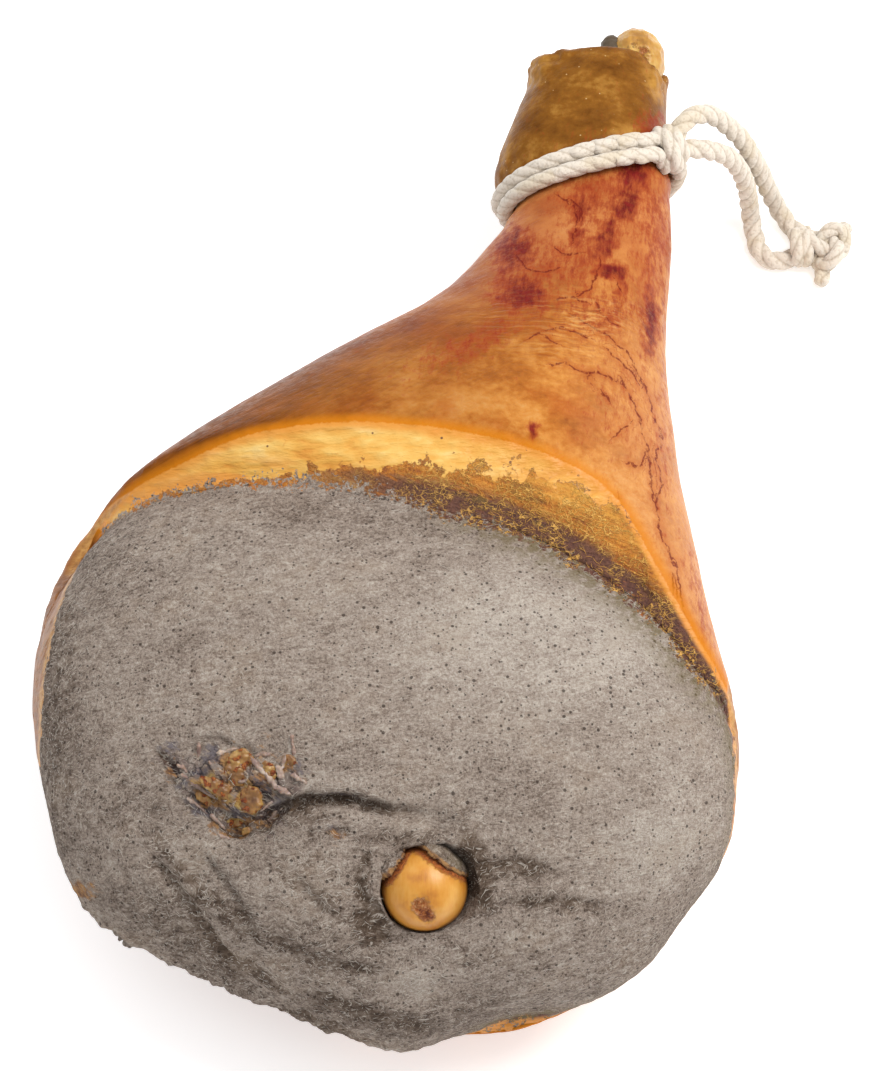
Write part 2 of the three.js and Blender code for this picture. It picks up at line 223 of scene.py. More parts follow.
def beside_path(points: Array, path: Array) -> tuple[Array, Array]:
    """How far points lie from a path in the plane.

    Args:
        points: the points, as pairs.
        path: the path's points, as pairs.

    Returns:
        The distances, positive on the path's left, and the share of the path at its nearest point.
    """
    best = np.full(len(points), np.inf)
    side, share = np.zeros(len(points)), np.zeros(len(points))
    for k, (a, b) in enumerate(zip(path, path[1:])):
        line = b - a
        t = np.clip((points - a) @ line / (line @ line), 0, 1)
        away = points - a - t[:, None] * line
        distance = np.hypot(away[:, 0], away[:, 1])
        left = line[0] * away[:, 1] - line[1] * away[:, 0]
        nearer = distance < best
        best = np.where(nearer, distance, best)
        side = np.where(nearer, np.sign(left), side)
        share = np.where(nearer, (k + t) / (len(path) - 1), share)
    return best * np.where(side < 0, -1, 1), share


def select_only(piece: Thing) -> None:
    """Selects one object alone and makes it the active one."""
    bpy.ops.object.select_all(action="DESELECT")
    piece.select_set(True)
    bpy.context.view_layer.objects.active = piece


@contextmanager
def editing(piece: Thing) -> Iterator[bmesh.types.BMesh]:
    """Edit mode on one object alone, with nothing in it selected."""
    select_only(piece)
    bpy.ops.object.mode_set(mode="EDIT")
    bpy.ops.mesh.select_all(action="DESELECT")
    yield bmesh.from_edit_mesh(piece.data)
    bpy.ops.object.mode_set(mode="OBJECT")


def apply_modifier(piece: Thing, kind: str, **settings: object) -> None:
    """Gives an object a modifier and applies it.

    Args:
        piece: the object.
        kind: the modifier's kind.
        settings: its settings, by name.
    """
    modifier = piece.modifiers.new(kind.lower(), kind)
    for name, value in settings.items():
        setattr(modifier, name, value)
    select_only(piece)
    bpy.ops.object.modifier_apply(modifier=modifier.name)


def merged_copy(node: str, grow: float = 0.0) -> Thing:
    """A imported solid's copy with its triangles joined up.

    Args:
        node: the solid's name.
        grow: how far its surface moves out, in metres.

    Returns:
        The copy, as a new object.
    """
    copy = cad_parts[node].copy()
    copy.data = copy.data.copy()
    copy.parent = None
    copy.data.materials.clear()
    for key in list(copy.keys()):
        del copy[key]
    bpy.context.scene.collection.objects.link(copy)
    with editing(copy):
        bpy.ops.mesh.select_all(action="SELECT")
        bpy.ops.mesh.remove_doubles(threshold=1e-6)
        bpy.ops.transform.shrink_fatten(value=grow)
    return copy


def remeshed(parts: Sequence[Thing], name: str, voxel: float) -> Thing:
    """Several closed objects made one even skin.

    Args:
        parts: the objects, which are used up.
        name: the new object's name.
        voxel: the size of its faces, in metres.

    Returns:
        The new object.
    """
    select_only(parts[0])
    for part in parts[1:]:
        part.select_set(True)
    if len(parts) > 1:
        bpy.ops.object.join()
    whole = parts[0]
    whole.name = name
    whole.data.remesh_voxel_size = voxel
    bpy.ops.object.voxel_remesh()
    return whole


def surface_of(node: str) -> BVHTree:
    """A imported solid's surface, ready for nearest points and rays."""
    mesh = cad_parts[node].data
    return BVHTree.FromPolygons([v.co for v in mesh.vertices], [p.vertices for p in mesh.polygons])


def hand_over(piece: Thing, slot: Slot, *nodes: str) -> None:
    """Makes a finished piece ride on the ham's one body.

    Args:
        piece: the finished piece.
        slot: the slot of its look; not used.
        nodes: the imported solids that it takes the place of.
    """
    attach(piece, BODY)
    if nodes:
        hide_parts(*nodes)
    stands_for = ", ".join(nodes) or "nothing packed"
    LOG.info("%s: %d faces, for %s", piece.name, len(piece.data.polygons), stands_for)


def dress(piece: Thing, material: Material, slot: Slot, *nodes: str) -> None:
    """Shades a piece smooth, gives it its material and hands it over.

    Args:
        piece: the finished piece.
        material: its only material.
        slot: the slot of its look.
        nodes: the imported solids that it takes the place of.
    """
    smooth(piece)
    piece.data.materials.append(material)
    hand_over(piece, slot, *nodes)


def smooth(piece: Thing) -> None:
    """Shades a piece smooth all over."""
    select_only(piece)
    bpy.ops.object.shade_smooth()


def new_piece(name: str, points: Array, faces: list[tuple]) -> Thing:
    """A new object.

    Args:
        name: what it is called.
        points: its points, in the drawing.
        faces: the numbers of each face's points.

    Returns:
        The object, in the scene.
    """
    mesh = bpy.data.meshes.new(name)
    mesh.from_pydata(placed(points.reshape(-1, 3)).tolist(), [], faces)
    piece = bpy.data.objects.new(name, mesh)
    bpy.context.scene.collection.objects.link(piece)
    return piece


def turn_outward(piece: Thing) -> None:
    """Turns all faces of a closed piece outward."""
    with editing(piece):
        bpy.ops.mesh.select_all(action="SELECT")
        bpy.ops.mesh.normals_make_consistent(inside=False)


class Form:
    """A mesh's points in the drawing, held while they are shaped along their normals."""

    beside = 40.0  # how far from a route its distance is told, in the photograph's pixels

    def __init__(self, piece: Thing) -> None:
        """Reads the points and normals of an object.

        Args:
            piece: the object, with its mesh finished but for its shape.
        """
        self.piece = piece
        mesh = piece.data
        flat = np.empty(len(mesh.vertices) * 3)
        mesh.vertices.foreach_get("co", flat)
        self.points = drawn(flat.reshape(-1, 3))
        mesh.vertex_normals.foreach_get("vector", flat)
        self.normals = flat.reshape(-1, 3).copy()
        self.edges = np.empty(len(mesh.edges) * 2, int)
        mesh.edges.foreach_get("vertices", self.edges)
        self.edges = self.edges.reshape(-1, 2)
        self.picture = in_picture(self.points)
        self.shown = step_between(0.0, 0.25, self.facing)
        self.shakes: dict[tuple, Array] = {}

    @property
    def across(self) -> Array:
        """Each point's place across the cut face."""
        return self.points[:, 0]

    @property
    def along(self) -> Array:
        """Each point's place up the cut face."""
        return self.points[:, 1] * math.cos(FACE_TILT) + self.points[:, 2] * math.sin(FACE_TILT)

    @property
    def facing(self) -> Array:
        """How far each point's normal turns to the side that the cut face looks at, from -1 to 1."""
        return self.normals[:, 2] * math.cos(FACE_TILT) - self.normals[:, 1] * math.sin(FACE_TILT)

    def shaken(self, reach: float, size: float) -> Array:
        """The points in the photograph, each moved up to this many pixels by lumps of this size.

        Args:
            reach: how far they move, in pixels.
            size: how wide the lumps are, in millimetres.

        Returns:
            The moved points.
        """
        if (reach, size) not in self.shakes:
            shake = np.stack([self.lumps(size, 21), self.lumps(size, 33)], axis=1)
            self.shakes[reach, size] = self.picture + reach * 2 * shake
        return self.shakes[reach, size]

    def marks(self, table: Sequence["Oval"], reach: float = 4.0, size: float = 6.0) -> Array:
        """How strongly any of these ovals marks each point, on the side that shows and behind it.

        Args:
            table: the ovals.
            reach: how far their outlines waver, in the photograph's pixels.
            size: how wide the lumps of that wavering are, in millimetres.

        Returns:
            The strength at each point.
        """
        marks = np.zeros(len(self.points))
        for oval in table:
            away = self.shaken(reach, size) - (oval.x, oval.y)
            c, s = math.cos(math.radians(oval.turn)), math.sin(math.radians(oval.turn))
            inside = ((away[:, 0] * c + away[:, 1] * s) / oval.wide) ** 2
            inside += ((away[:, 1] * c - away[:, 0] * s) / oval.high) ** 2
            marks = np.maximum(marks, oval.amount * np.exp(-inside))
        return marks

    def spots(self, table: Sequence["Oval"], reach: float = 4.0, size: float = 6.0) -> Array:
        """How strongly any of these ovals marks each point that the photograph shows."""
        return self.marks(table, reach, size) * self.shown

    def furrow(self, route: Sequence, reach: float = 0.0) -> tuple[Array, Array]:
        """Where points lie from a route in the photograph.

        Args:
            route: the route's points, in the photograph's pixels.
            reach: how far the route wavers, in pixels.

        Returns:
            The distances in pixels, positive below the route, and a share that fades out at its ends.
        """
        places = self.shaken(reach, 5.0) if reach else self.picture
        path = smooth_curve(route, per_span=6)
        low, high = path.min(axis=0) - self.beside, path.max(axis=0) + self.beside
        close = (self.shown > 0) & (places > low).all(axis=1) & (places < high).all(axis=1)
        away, share = np.full(len(places), np.inf), np.zeros(len(places))
        away[close], share[close] = beside_path(places[close], path)
        return away, step_between(0.0, 0.15, share) * step_between(1.0, 0.75, share)

    def reach_from(self, route: Sequence) -> Array:
        """How far each point is in space from a route drawn over the skin, in millimetres.

        Args:
            route: the route's points, in the photograph's pixels.

        Returns:
            The distance of each point.
        """
        hidden = np.where(self.shown > 0.5, 0.0, np.inf)
        nearest = np.full(len(self.points), np.inf)
        for at in smooth_curve(route, per_span=6):
            anchor = self.points[np.argmin(np.hypot(*(self.picture - at).T) + hidden)]
            nearest = np.minimum(nearest, np.linalg.norm(self.points - anchor, axis=1))
        return nearest

    def lumps(self, size: float, seed: float, stretch: Place = (1, 1, 1)) -> Array:
        """Smooth unevenness from about -1 to 1, with lumps of this size in millimetres."""
        points = self.points * np.array(stretch) / size + seed
        return np.array([noise.noise(p) for p in points.tolist()])

    def relaxed(self, values: Array, rounds: int) -> Array:
        """Values at the points, each averaged with its neighbours this many times.

        Args:
            values: a value for each point.
            rounds: how many times.

        Returns:
            The new values.
        """
        a, b = self.edges.T
        count = np.bincount(self.edges.ravel(), minlength=len(values)) + 1.0
        for _ in range(rounds):
            total = values + np.bincount(a, values[b], len(values)) + np.bincount(b, values[a], len(values))
            values = total / count
        return values

    def push(self, depth: Array) -> None:
        """Moves the points out along their normals by these millimetres."""
        self.points += self.normals * depth[:, None]

    def write(self) -> None:
        """Puts the points back in the mesh, none of them below the floor."""
        points = placed(self.points)
        points[:, 2] = np.maximum(points[:, 2], 0)
        self.piece.data.vertices.foreach_set("co", points.ravel())
        self.piece.data.update()

    def store(self, **values: Union[Array, float]) -> None:
        """Keeps values for each point, by name, for the finishes to read."""
        attributes = self.piece.data.attributes
        for name, value in values.items():
            attribute = attributes.get(name) or attributes.new(name, "FLOAT", "POINT")
            spread = np.broadcast_to(value, len(self.points)).astype(np.float32)
            attribute.data.foreach_set("value", spread)

    def store_stains(self) -> None:
        """Keeps how strongly the stains of the face mark each point."""
        marks = {"rust": RUST, "gold": GOLD, "ink": INK, "scar": SCARS}
        self.store(**{name: self.spots(table) for name, table in marks.items()})

    def weigh(self, name: str, weights: Array, levels: int = 20) -> None:
        """Keeps weights from 0 to 1 as a vertex group.

        Args:
            name: the group's name.
            weights: a weight for each point.
            levels: how many steps of weight there are.
        """
        group = self.piece.vertex_groups.new(name=name)
        steps = np.round(np.clip(weights, 0, 1) * levels).astype(int)
        for level in range(levels + 1):
            group.add(np.flatnonzero(steps == level).tolist(), level / levels, "REPLACE")


def seen(red: int, green: int, blue: int, light: float = 1.42) -> tuple[float, float, float, float]:
    """A colour as the photograph shows it, from 0 to 255, as the surface's own linear colour.

    Args:
        red: how red it shows.
        green: how green it shows.
        blue: how blue it shows.
        light: how much brighter than white paper in plain daylight the studio lights it.

    Returns:
        The colour with its alpha.
    """
    shares = (red / 255, green / 255, blue / 255)
    linear = [c / 12.92 if c <= 0.04045 else ((c + 0.055) / 1.055) ** 2.4 for c in shares]
    return (*(c / light for c in linear), 1.0)


class Shader:
    """A material under construction, with short calls for the nodes that the finishes need.

    Lengths are millimetres. A place is given as across the cut face, along it and out of it.
    """

    def __init__(self, name: str) -> None:
        """Starts an empty material."""
        self.material = bpy.data.materials.new(name)
        self.material.use_nodes = True
        self.tree = self.material.node_tree
        self.tree.nodes.clear()
        here = self.add("ShaderNodeTexCoord")
        turn = self.add("ShaderNodeMapping")
        self.feed(turn.inputs["Vector"], here.outputs["Object"])
        turn.inputs["Scale"].default_value = (1000, 1000, 1000)
        turn.inputs["Rotation"].default_value = (-FACE_TILT, 0, 0)
        self.place = turn.outputs[0]

    def add(self, kind: str, **settings: object) -> bpy.types.Node:
        """A new node with these settings."""
        node = self.tree.nodes.new(kind)
        for name, value in settings.items():
            setattr(node, name, value)
        return node

    def feed(self, socket: Socket, value: object) -> None:
        """Links a socket to another, or sets it."""
        if isinstance(value, Socket):
            self.tree.links.new(value, socket)
        else:
            socket.default_value = value

    def coat(
        self, tint: Tint, roughness: Number, layers: Sequence[tuple[Number, float]] = (), **constants: object,
    ) -> Socket:
        """A surface.

        Args:
            tint: its colour.
            roughness: how rough it is.
            layers: its relief, as layers of height, each with its depth in millimetres.
            constants: what else is the same all over it, by name.

        Returns:
            The surface, to blend with another or to finish with.
        """
        surface = self.add("ShaderNodeBsdfPrincipled")
        self.feed(surface.inputs["Base Color"], tint)
        self.feed(surface.inputs["Roughness"], roughness)
        for name, value in constants.items():
            surface.inputs[name.replace("_", " ")].default_value = value
        if layers:
            relief = self.add("ShaderNodeBump")
            relief.inputs["Strength"].default_value = 1.0
            relief.inputs["Distance"].default_value = MM
            self.feed(relief.inputs["Height"], self.sum(*layers))
            self.feed(surface.inputs["Normal"], relief.outputs[0])
        return surface.outputs[0]

    def blend(self, share: Number, a: Tint, b: Tint) -> Socket:
        """Two surfaces blended, from all of `a` at 0 to all of `b` at 1."""
        node = self.add("ShaderNodeMixShader")
        for socket, value in zip(node.inputs, (share, a, b)):
            self.feed(socket, value)
        return node.outputs[0]

    def finish(self, surface: Socket) -> Material:
        """Gives the material its surface."""
        self.feed(self.add("ShaderNodeOutputMaterial").inputs[0], surface)
        return self.material

    def sized(self, size: Size, turn: float = 0.0, seed: float = 0.0, place: Tint = None) -> Tint:
        """The place counted in lumps of this size, turned in the face's plane by some degrees.

        Args:
            size: how wide the lumps are.
            turn: how far they are turned.
            seed: what moves them to another place.
            place: the place that is counted, where it isn't the piece's own.

        Returns:
            The place, in lumps.
        """
        node = self.add("ShaderNodeMapping", vector_type="TEXTURE")
        self.feed(node.inputs["Vector"], place or self.place)
        node.inputs["Scale"].default_value = size if isinstance(size, tuple) else (size,) * 3
        node.inputs["Rotation"].default_value = (0, 0, math.radians(turn))
        node.inputs["Location"].default_value = (seed, seed * 2, seed * 3)
        return node.outputs[0]

    def grain(
        self, size: Size, detail: float = 2.0, rough: float = 0.5, turn: float = 0.0,
        seed: float = 0.0, warp: float = 0.0, place: Tint = None,
    ) -> Socket:
        """Uneven noise from 0 to 1, with lumps of this size.

        Args:
            size: how wide the lumps are, in millimetres.
            detail: how many finer levels it has.
            rough: how strong each finer level is.
            turn: how far the lumps are turned, in degrees.
            seed: what makes one noise differ from another.
            warp: how far it is distorted.
            place: the place that is counted, where it isn't the piece's own.

        Returns:
            The noise, spread round 0.5.
        """
        node = self.add("ShaderNodeTexNoise")
        self.feed(node.inputs["Vector"], self.sized(size, turn, seed, place))
        for name, value in (("Scale", 1.0), ("Detail", detail), ("Roughness", rough), ("Distortion", warp)):
            node.inputs[name].default_value = value
        wide = self.add("ShaderNodeMapRange")
        for socket, number in zip(wide.inputs, (node.outputs[0], 0.27, 0.73)):
            self.feed(socket, number)
        return wide.outputs[0]

    def cells(self, size: Size, seed: float = 0.0, place: Tint = None, turn: float = 0.0) -> tuple:
        """The distance from the middle of each cell, in cells, and a number of the cell's own.

        Args:
            size: how wide the cells are.
            seed: what moves them.
            place: the place that is counted, where it isn't the piece's own.
            turn: how far they are turned, in degrees.

        Returns:
            The distance and the number.
        """
        node = self.add("ShaderNodeTexVoronoi")
        self.feed(node.inputs["Vector"], self.sized(size, turn, seed, place))
        node.inputs["Scale"].default_value = 1.0
        return node.outputs["Distance"], self.parts(node.outputs["Color"])[0]

    def web(self, size: Size, seed: float = 0.0, place: Tint = None) -> Socket:
        """The distance from the walls between cells, in cells.

        Args:
            size: how wide the cells are.
            seed: what moves them.
            place: the place that is counted, where it isn't the piece's own.

        Returns:
            The distance.
        """
        node = self.add("ShaderNodeTexVoronoi", feature="DISTANCE_TO_EDGE")
        self.feed(node.inputs["Vector"], self.sized(size, 0.0, seed, place))
        node.inputs["Scale"].default_value = 1.0
        return node.outputs["Distance"]

    def parts(self, vector: Socket) -> list[Socket]:
        """The three numbers of a vector."""
        node = self.add("ShaderNodeSeparateXYZ")
        self.feed(node.inputs[0], vector)
        return list(node.outputs)

    def shaken(self, reach: float, size: float, seed: float = 0.0) -> Socket:
        """The place, shaken this far by lumps of this size.

        Args:
            reach: how far it moves, in millimetres.
            size: how wide the lumps are.
            seed: what moves them.

        Returns:
            The shaken place.
        """
        shake = self.add("ShaderNodeTexNoise")
        self.feed(shake.inputs["Vector"], self.sized(size, 0.0, seed))
        shake.inputs["Scale"].default_value = 1.0
        level = self.add("ShaderNodeVectorMath", operation="SUBTRACT")
        self.feed(level.inputs[0], shake.outputs["Color"])
        level.inputs[1].default_value = (0.5, 0.5, 0.5)
        longer = self.add("ShaderNodeVectorMath", operation="SCALE")
        self.feed(longer.inputs[0], level.outputs[0])
        longer.inputs["Scale"].default_value = reach * 4
        moved = self.add("ShaderNodeVectorMath", operation="ADD")
        self.feed(moved.inputs[0], self.place)
        self.feed(moved.inputs[1], longer.outputs[0])
        return moved.outputs[0]

    def math(self, operation: str, a: Number, b: Number = 0.0) -> Socket:
        """One sum of two numbers."""
        node = self.add("ShaderNodeMath", operation=operation)
        self.feed(node.inputs[0], a)
        self.feed(node.inputs[1], b)
        return node.outputs[0]

    def sum(self, *terms: tuple[Number, float]) -> Socket:
        """The sum of values, each with its weight.

        Args:
            terms: the values and their weights.

        Returns:
            The sum.
        """
        total = None
        for value, weight in terms:
            node = self.add("ShaderNodeMath", operation="MULTIPLY_ADD")
            self.feed(node.inputs[0], value)
            node.inputs[1].default_value = weight
            self.feed(node.inputs[2], 0.0 if total is None else total)
            total = node.outputs[0]
        return total

    def both(self, *shares: Number) -> Number:
        """The product of shares."""
        total = shares[0]
        for share in shares[1:]:
            total = self.math("MULTIPLY", total, share)
        return total

    def step(self, value: Number, low: float, high: float, start: float = 0.0, end: float = 1.0) -> Tint:
        """A smooth step of a value from `start` at `low` to `end` at `high`.

        Args:
            value: the value.
            low: where the step starts, which may be above `high`.
            high: where it ends.
            start: the result at `low`.
            end: the result at `high`.

        Returns:
            The step.
        """
        node = self.add("ShaderNodeMapRange", interpolation_type="SMOOTHSTEP")
        if low > high:
            low, high, start, end = high, low, end, start
        for socket, number in zip(node.inputs, (value, low, high, start, end)):
            self.feed(socket, number)
        return node.outputs[0]

    def band(self, value: Number, reach: float, soft: float) -> Socket:
        """1 where a value is nearer to zero than this reach, and 0 beyond it."""
        return self.step(self.math("ABSOLUTE", value), reach + soft, reach)

    def mix(self, share: Number, a: Tint, b: Tint) -> Socket:
        """Two colours mixed.

        Args:
            share: how much of `b` there is, from 0 to 1.
            a: a colour, as the photograph shows it or from another node.
            b: the other colour.

        Returns:
            The mixed colour.
        """
        node = self.add("ShaderNodeMix", data_type="RGBA")
        for index, value in zip((0, 6, 7), (share, a, b)):
            self.feed(node.inputs[index], seen(*value) if isinstance(value, tuple) else value)
        return node.outputs[2]

    def ramp(self, value: Number, *stops: Sequence[float]) -> Socket:
        """A colour from a row of colours.

        Args:
            value: where on the row it is, from 0 to 1.
            stops: the colours' places, each with its colour as the photograph shows it.

        Returns:
            The colour.
        """
        node = self.add("ShaderNodeValToRGB")
        self.feed(node.inputs[0], value)
        elements = node.color_ramp.elements
        for element, (place, *colour) in zip(list(elements), (stops[0], stops[-1])):
            element.position, element.color = place, seen(*colour)
        for place, *colour in stops[1:-1]:
            elements.new(place).color = seen(*colour)
        return node.outputs[0]

    def attribute(self, name: str) -> Socket:
        """A value that the mesh keeps for each point."""
        return self.add("ShaderNodeAttribute", attribute_name=name).outputs["Fac"]


@dataclass(frozen=True)
class CottonFinish:
    """White twisted cotton, a little soiled, with its fibres along the strands and painted shade in the
    valleys between them.
    """

    clean: tuple = (241, 229, 213)
    soiled: tuple = (234, 219, 196)
    # The colour of the painted shade in the valleys between strands and yarns.
    hollow: tuple = (176, 154, 126)

    def material(self) -> Material:
        """The finish as a material."""
        shader = Shader("cotton_rope")
        lay = shader.add("ShaderNodeUVMap", uv_map="lay").outputs[0]
        fibres = shader.grain((3.0, 0.03, 1.0), 4, 0.65, place=lay)
        yarns = shader.grain((1.6, 0.08, 1.0), 2, 0.5, seed=3, place=lay)
        valley = shader.attribute("valley")
        dirt = shader.grain(18, 3, 0.6)
        tint = shader.mix(shader.step(dirt, 0.45, 0.75), self.clean, self.soiled)
        # Painted shade in the valleys between the strands and between the yarns.
        tint = shader.mix(shader.both(shader.step(valley, 0.35, 1.0), 0.55), tint, self.hollow)
        tint = shader.mix(shader.step(yarns, 0.42, 0.25, 0, 0.3), tint, self.hollow)
        relief = ((yarns, 0.3), (fibres, 0.2))
        return shader.finish(shader.coat(tint, 0.9, relief, Sheen_Weight=0.3, Specular_IOR_Level=0.2))


@dataclass(frozen=True)
class PlainFinish:
    """One colour, with one roughness, that may glow a little."""

    name: str
    tint: tuple
    roughness: float = 0.6
    glow: float = 0.0

    def material(self) -> Material:
        """The finish as a material."""
        shader = Shader(self.name)
        glow = {"Emission_Color": (1.0, 1.0, 1.0, 1.0), "Emission_Strength": self.glow}
        return shader.finish(shader.coat(self.tint, self.roughness, **glow))


@dataclass(frozen=True)
class FleshFinish:
    """The leg's outside, told apart by what its mesh keeps for each point."""

    name: str
    shows: Shows

    def material(self) -> Material:
        """The finish as a material."""
        s = Shader(self.name)
        surface = self.lean(s)
        if self.shows is not Shows.LEAN:
            seam, edge = s.attribute("seam"), s.attribute("edge")
            across = s.parts(s.place)[0]
            lace = s.grain(2.2, 4, 0.7, seed=7)
            ragged = s.grain(12, 3, 0.6, seed=11)
            wider = s.sum((s.step(across, -70, 5, 0, 14), 1), (s.step(across, 20, 80, 0, 9), 1))
            fringe = s.sum((seam, 1), (wider, 1), (ragged, 13), (lace, 5), (1.0, -8.5))
            rim = s.both(s.band(fringe, 0.3, 0.6), s.step(ragged, 0.35, 0.6))
            strip = s.attribute("strip")
            on_crust = s.both(s.step(fringe, -0.7, 0.7), s.step(edge, -1.0, -3.6), s.step(strip, 0.6, 0.1))
            cut = s.blend(on_crust, self.fat(s, seam, edge, across, rim), self.crust(s, seam, across))
            top = s.step(edge, -70, -45)
            frayed = s.sum((ragged, -8), (lace, -13), (s.step(across, 30, 0), 5), (1.0, 8.5))
            felt = s.sum((seam, 1), (s.both(top, frayed), 1), (lace, -2), (strip, -22))
            surface = s.blend(s.step(felt, -1.0, 1.0), cut, surface)
            if self.shows is Shows.RIND:
                shaken = s.sum((edge, 1.0), (lace, 1.2), (1.0, -0.6))
                skin = s.both(s.step(shaken, -0.5, 0.6), s.step(strip, 0.5, 0.2))
                surface = s.blend(skin, surface, self.rind(s, edge, across))
        return s.finish(surface)

    def fat(self, s: Shader, seam: Tint, edge: Tint, across: Tint, rim: Tint) -> Tint:
        """The surface of the yellow fat, with the tan edge of the rind along the face's sides.

        Args:
            s: the material under construction.
            seam: the distance from the lean's seam.
            edge: the distance from the knife's edge.
            across: the place across the face.
            rim: where the brown line beside the crust is.

        Returns:
            The surface.
        """
        curd = s.grain((12, 4, 6), 4, 0.55, turn=4, seed=19)
        blush = s.grain((30, 9, 12), 2, 0.6, turn=-6, seed=29)
        tint = s.ramp(
            s.sum((curd, 0.35), (blush, 0.35), (1.0, 0.16)),
            (0.2, 230, 152, 50), (0.42, 240, 178, 76), (0.62, 246, 198, 104), (0.85, 253, 222, 148),
        )
        golden = s.mix(curd, (214, 136, 36), (240, 170, 62))
        tint = s.mix(s.both(s.step(across, 10, 80), 0.85), tint, golden)
        rosy = s.both(s.step(seam, -18, -4), s.step(blush, 0.25, 0.6), 0.8)
        tint = s.mix(rosy, tint, (236, 148, 50))
        tint = s.mix(s.both(s.step(edge, -6, -0.5), 0.8), tint, (226, 142, 34))
        distance, own = s.cells(8, seed=3)
        fleck = s.both(s.step(distance, 0.1, 0.05), s.step(own, 0.55, 0.6))
        tint = s.mix(fleck, tint, (120, 74, 40))
        tint = s.mix(s.both(rim, 0.85), tint, (104, 58, 28))
        tan = s.grain(3.0, 3, 0.6, seed=131)
        tan = s.ramp(tan, (0.2, 158, 106, 50), (0.5, 192, 136, 64), (0.8, 208, 158, 86))
        bark = s.mix(curd, (104, 56, 16), (172, 104, 40))
        tan = s.mix(s.step(s.sum((s.attribute("below"), 1.0), (curd, 3.0)), 3.5, 7.5), tan, bark)
        tint = s.mix(s.both(s.attribute("strip"), 0.9), tint, tan)
        return s.coat(tint, 0.45, ((curd, 0.7),), Specular_IOR_Level=0.4)

    def crust(self, s: Shader, seam: Tint, across: Tint) -> Tint:
        """The surface of the golden crust, with its pale lace and its dark streaks.

        Args:
            s: the material under construction.
            seam: the distance from the lean's seam.
            across: the place across the face.

        Returns:
            The surface.
        """
        streak = s.grain((14, 2.8, 5), 4, 0.65, turn=-24, seed=31)
        bits = s.grain(1.5, 4, 0.72, seed=37)
        blot = s.grain((20, 8, 10), 3, 0.6, turn=-24, seed=43)
        tint = s.ramp(
            s.sum((streak, 0.3), (bits, 0.35), (blot, 0.4), (1.0, -0.02)), (0.15, 96, 50, 26),
            (0.33, 168, 94, 30), (0.5, 214, 132, 38), (0.66, 234, 160, 62), (0.88, 248, 204, 122),
        )
        high = s.both(s.step(seam, -12, -26), s.step(across, -10, 30))
        tint = s.mix(s.both(high, 0.7), tint, s.mix(streak, (206, 122, 30), (246, 186, 78)))
        low = s.both(s.step(seam, -15, -7), s.step(across, -50, 20, 0.4, 1.0))
        near = s.both(s.step(seam, -12, -6), s.step(across, -40, 30))
        dark = s.both(low, s.step(s.sum((blot, 0.5), (streak, 0.5), (near, 0.22)), 0.4, 0.56))
        tint = s.mix(s.both(dark, 0.92), tint, s.mix(bits, (44, 26, 30), (120, 74, 66)))
        olive = s.both(s.step(across, 10, 40), s.step(across, 90, 60), s.step(blot, 0.42, 0.2))
        tint = s.mix(s.both(olive, s.step(seam, -30, -12), 0.5), tint, (140, 114, 46))
        shaken = s.shaken(1.5, 5, seed=5)
        coarse = s.step(s.web((5.0, 2.4, 3.0), seed=9, place=shaken), 0.08, 0.02)
        small = s.step(s.web((2.3, 1.2, 1.6), seed=13, place=shaken), 0.09, 0.02)
        coarse, small = s.both(coarse, s.step(streak, 0.3, 0.5)), s.both(small, s.step(bits, 0.4, 0.6))
        where = s.both(s.step(s.grain(14, 2, 0.6, seed=141), 0.3, 0.6), s.step(across, -20, 45, 0.25, 0.85))
        lace = s.both(s.math("MAXIMUM", coarse, small), where)
        tint = s.mix(lace, tint, (252, 192, 96))
        return s.coat(tint, 0.5, ((bits, 0.6), (lace, 0.7), (streak, 0.5)), Specular_IOR_Level=0.35)

    def lean(self, s: Shader) -> Tint:
        """The grey felted surface of the lean, with its fibres, its specks, its stains and its painted shade
        and light.

        Args:
            s: the material under construction.

        Returns:
            The surface.
        """
        # The face's painted shade and painted light shift the grey's value and where its blotches and fibre
        # marks show.
        tone = s.attribute("tone")
        broad = s.grain((34, 24, 26), 3, 0.6, turn=15, seed=47)
        patch = s.grain((6, 4, 5), 3, 0.65, turn=10, seed=57)
        fine = s.grain(1.3, 4, 0.85, seed=53)
        bent = s.shaken(3.0, 16, seed=8)
        brushed = s.grain((9, 0.8, 3), 3, 0.65, turn=9, seed=59, place=bent)
        shaded = s.sum((broad, 0.6), (tone, -0.7))
        blotched = s.both(s.step(shaded, 0.15, 0.9), s.sum((patch, 1.0), (1.0, -0.5)))
        value = s.sum(
            (tone, 0.3), (broad, 0.26), (patch, 0.24), (fine, 0.74), (brushed, 0.24), (blotched, 0.5),
            (1.0, -0.17),
        )
        tint = s.ramp(
            value, (0.02, 62, 52, 46), (0.3, 126, 109, 97), (0.5, 168, 150, 136),
            (0.7, 196, 180, 166), (1.0, 232, 220, 206),
        )
        tint = s.mix(s.step(broad, 0.5, 0.95, 0, 0.35), tint, (162, 136, 112))
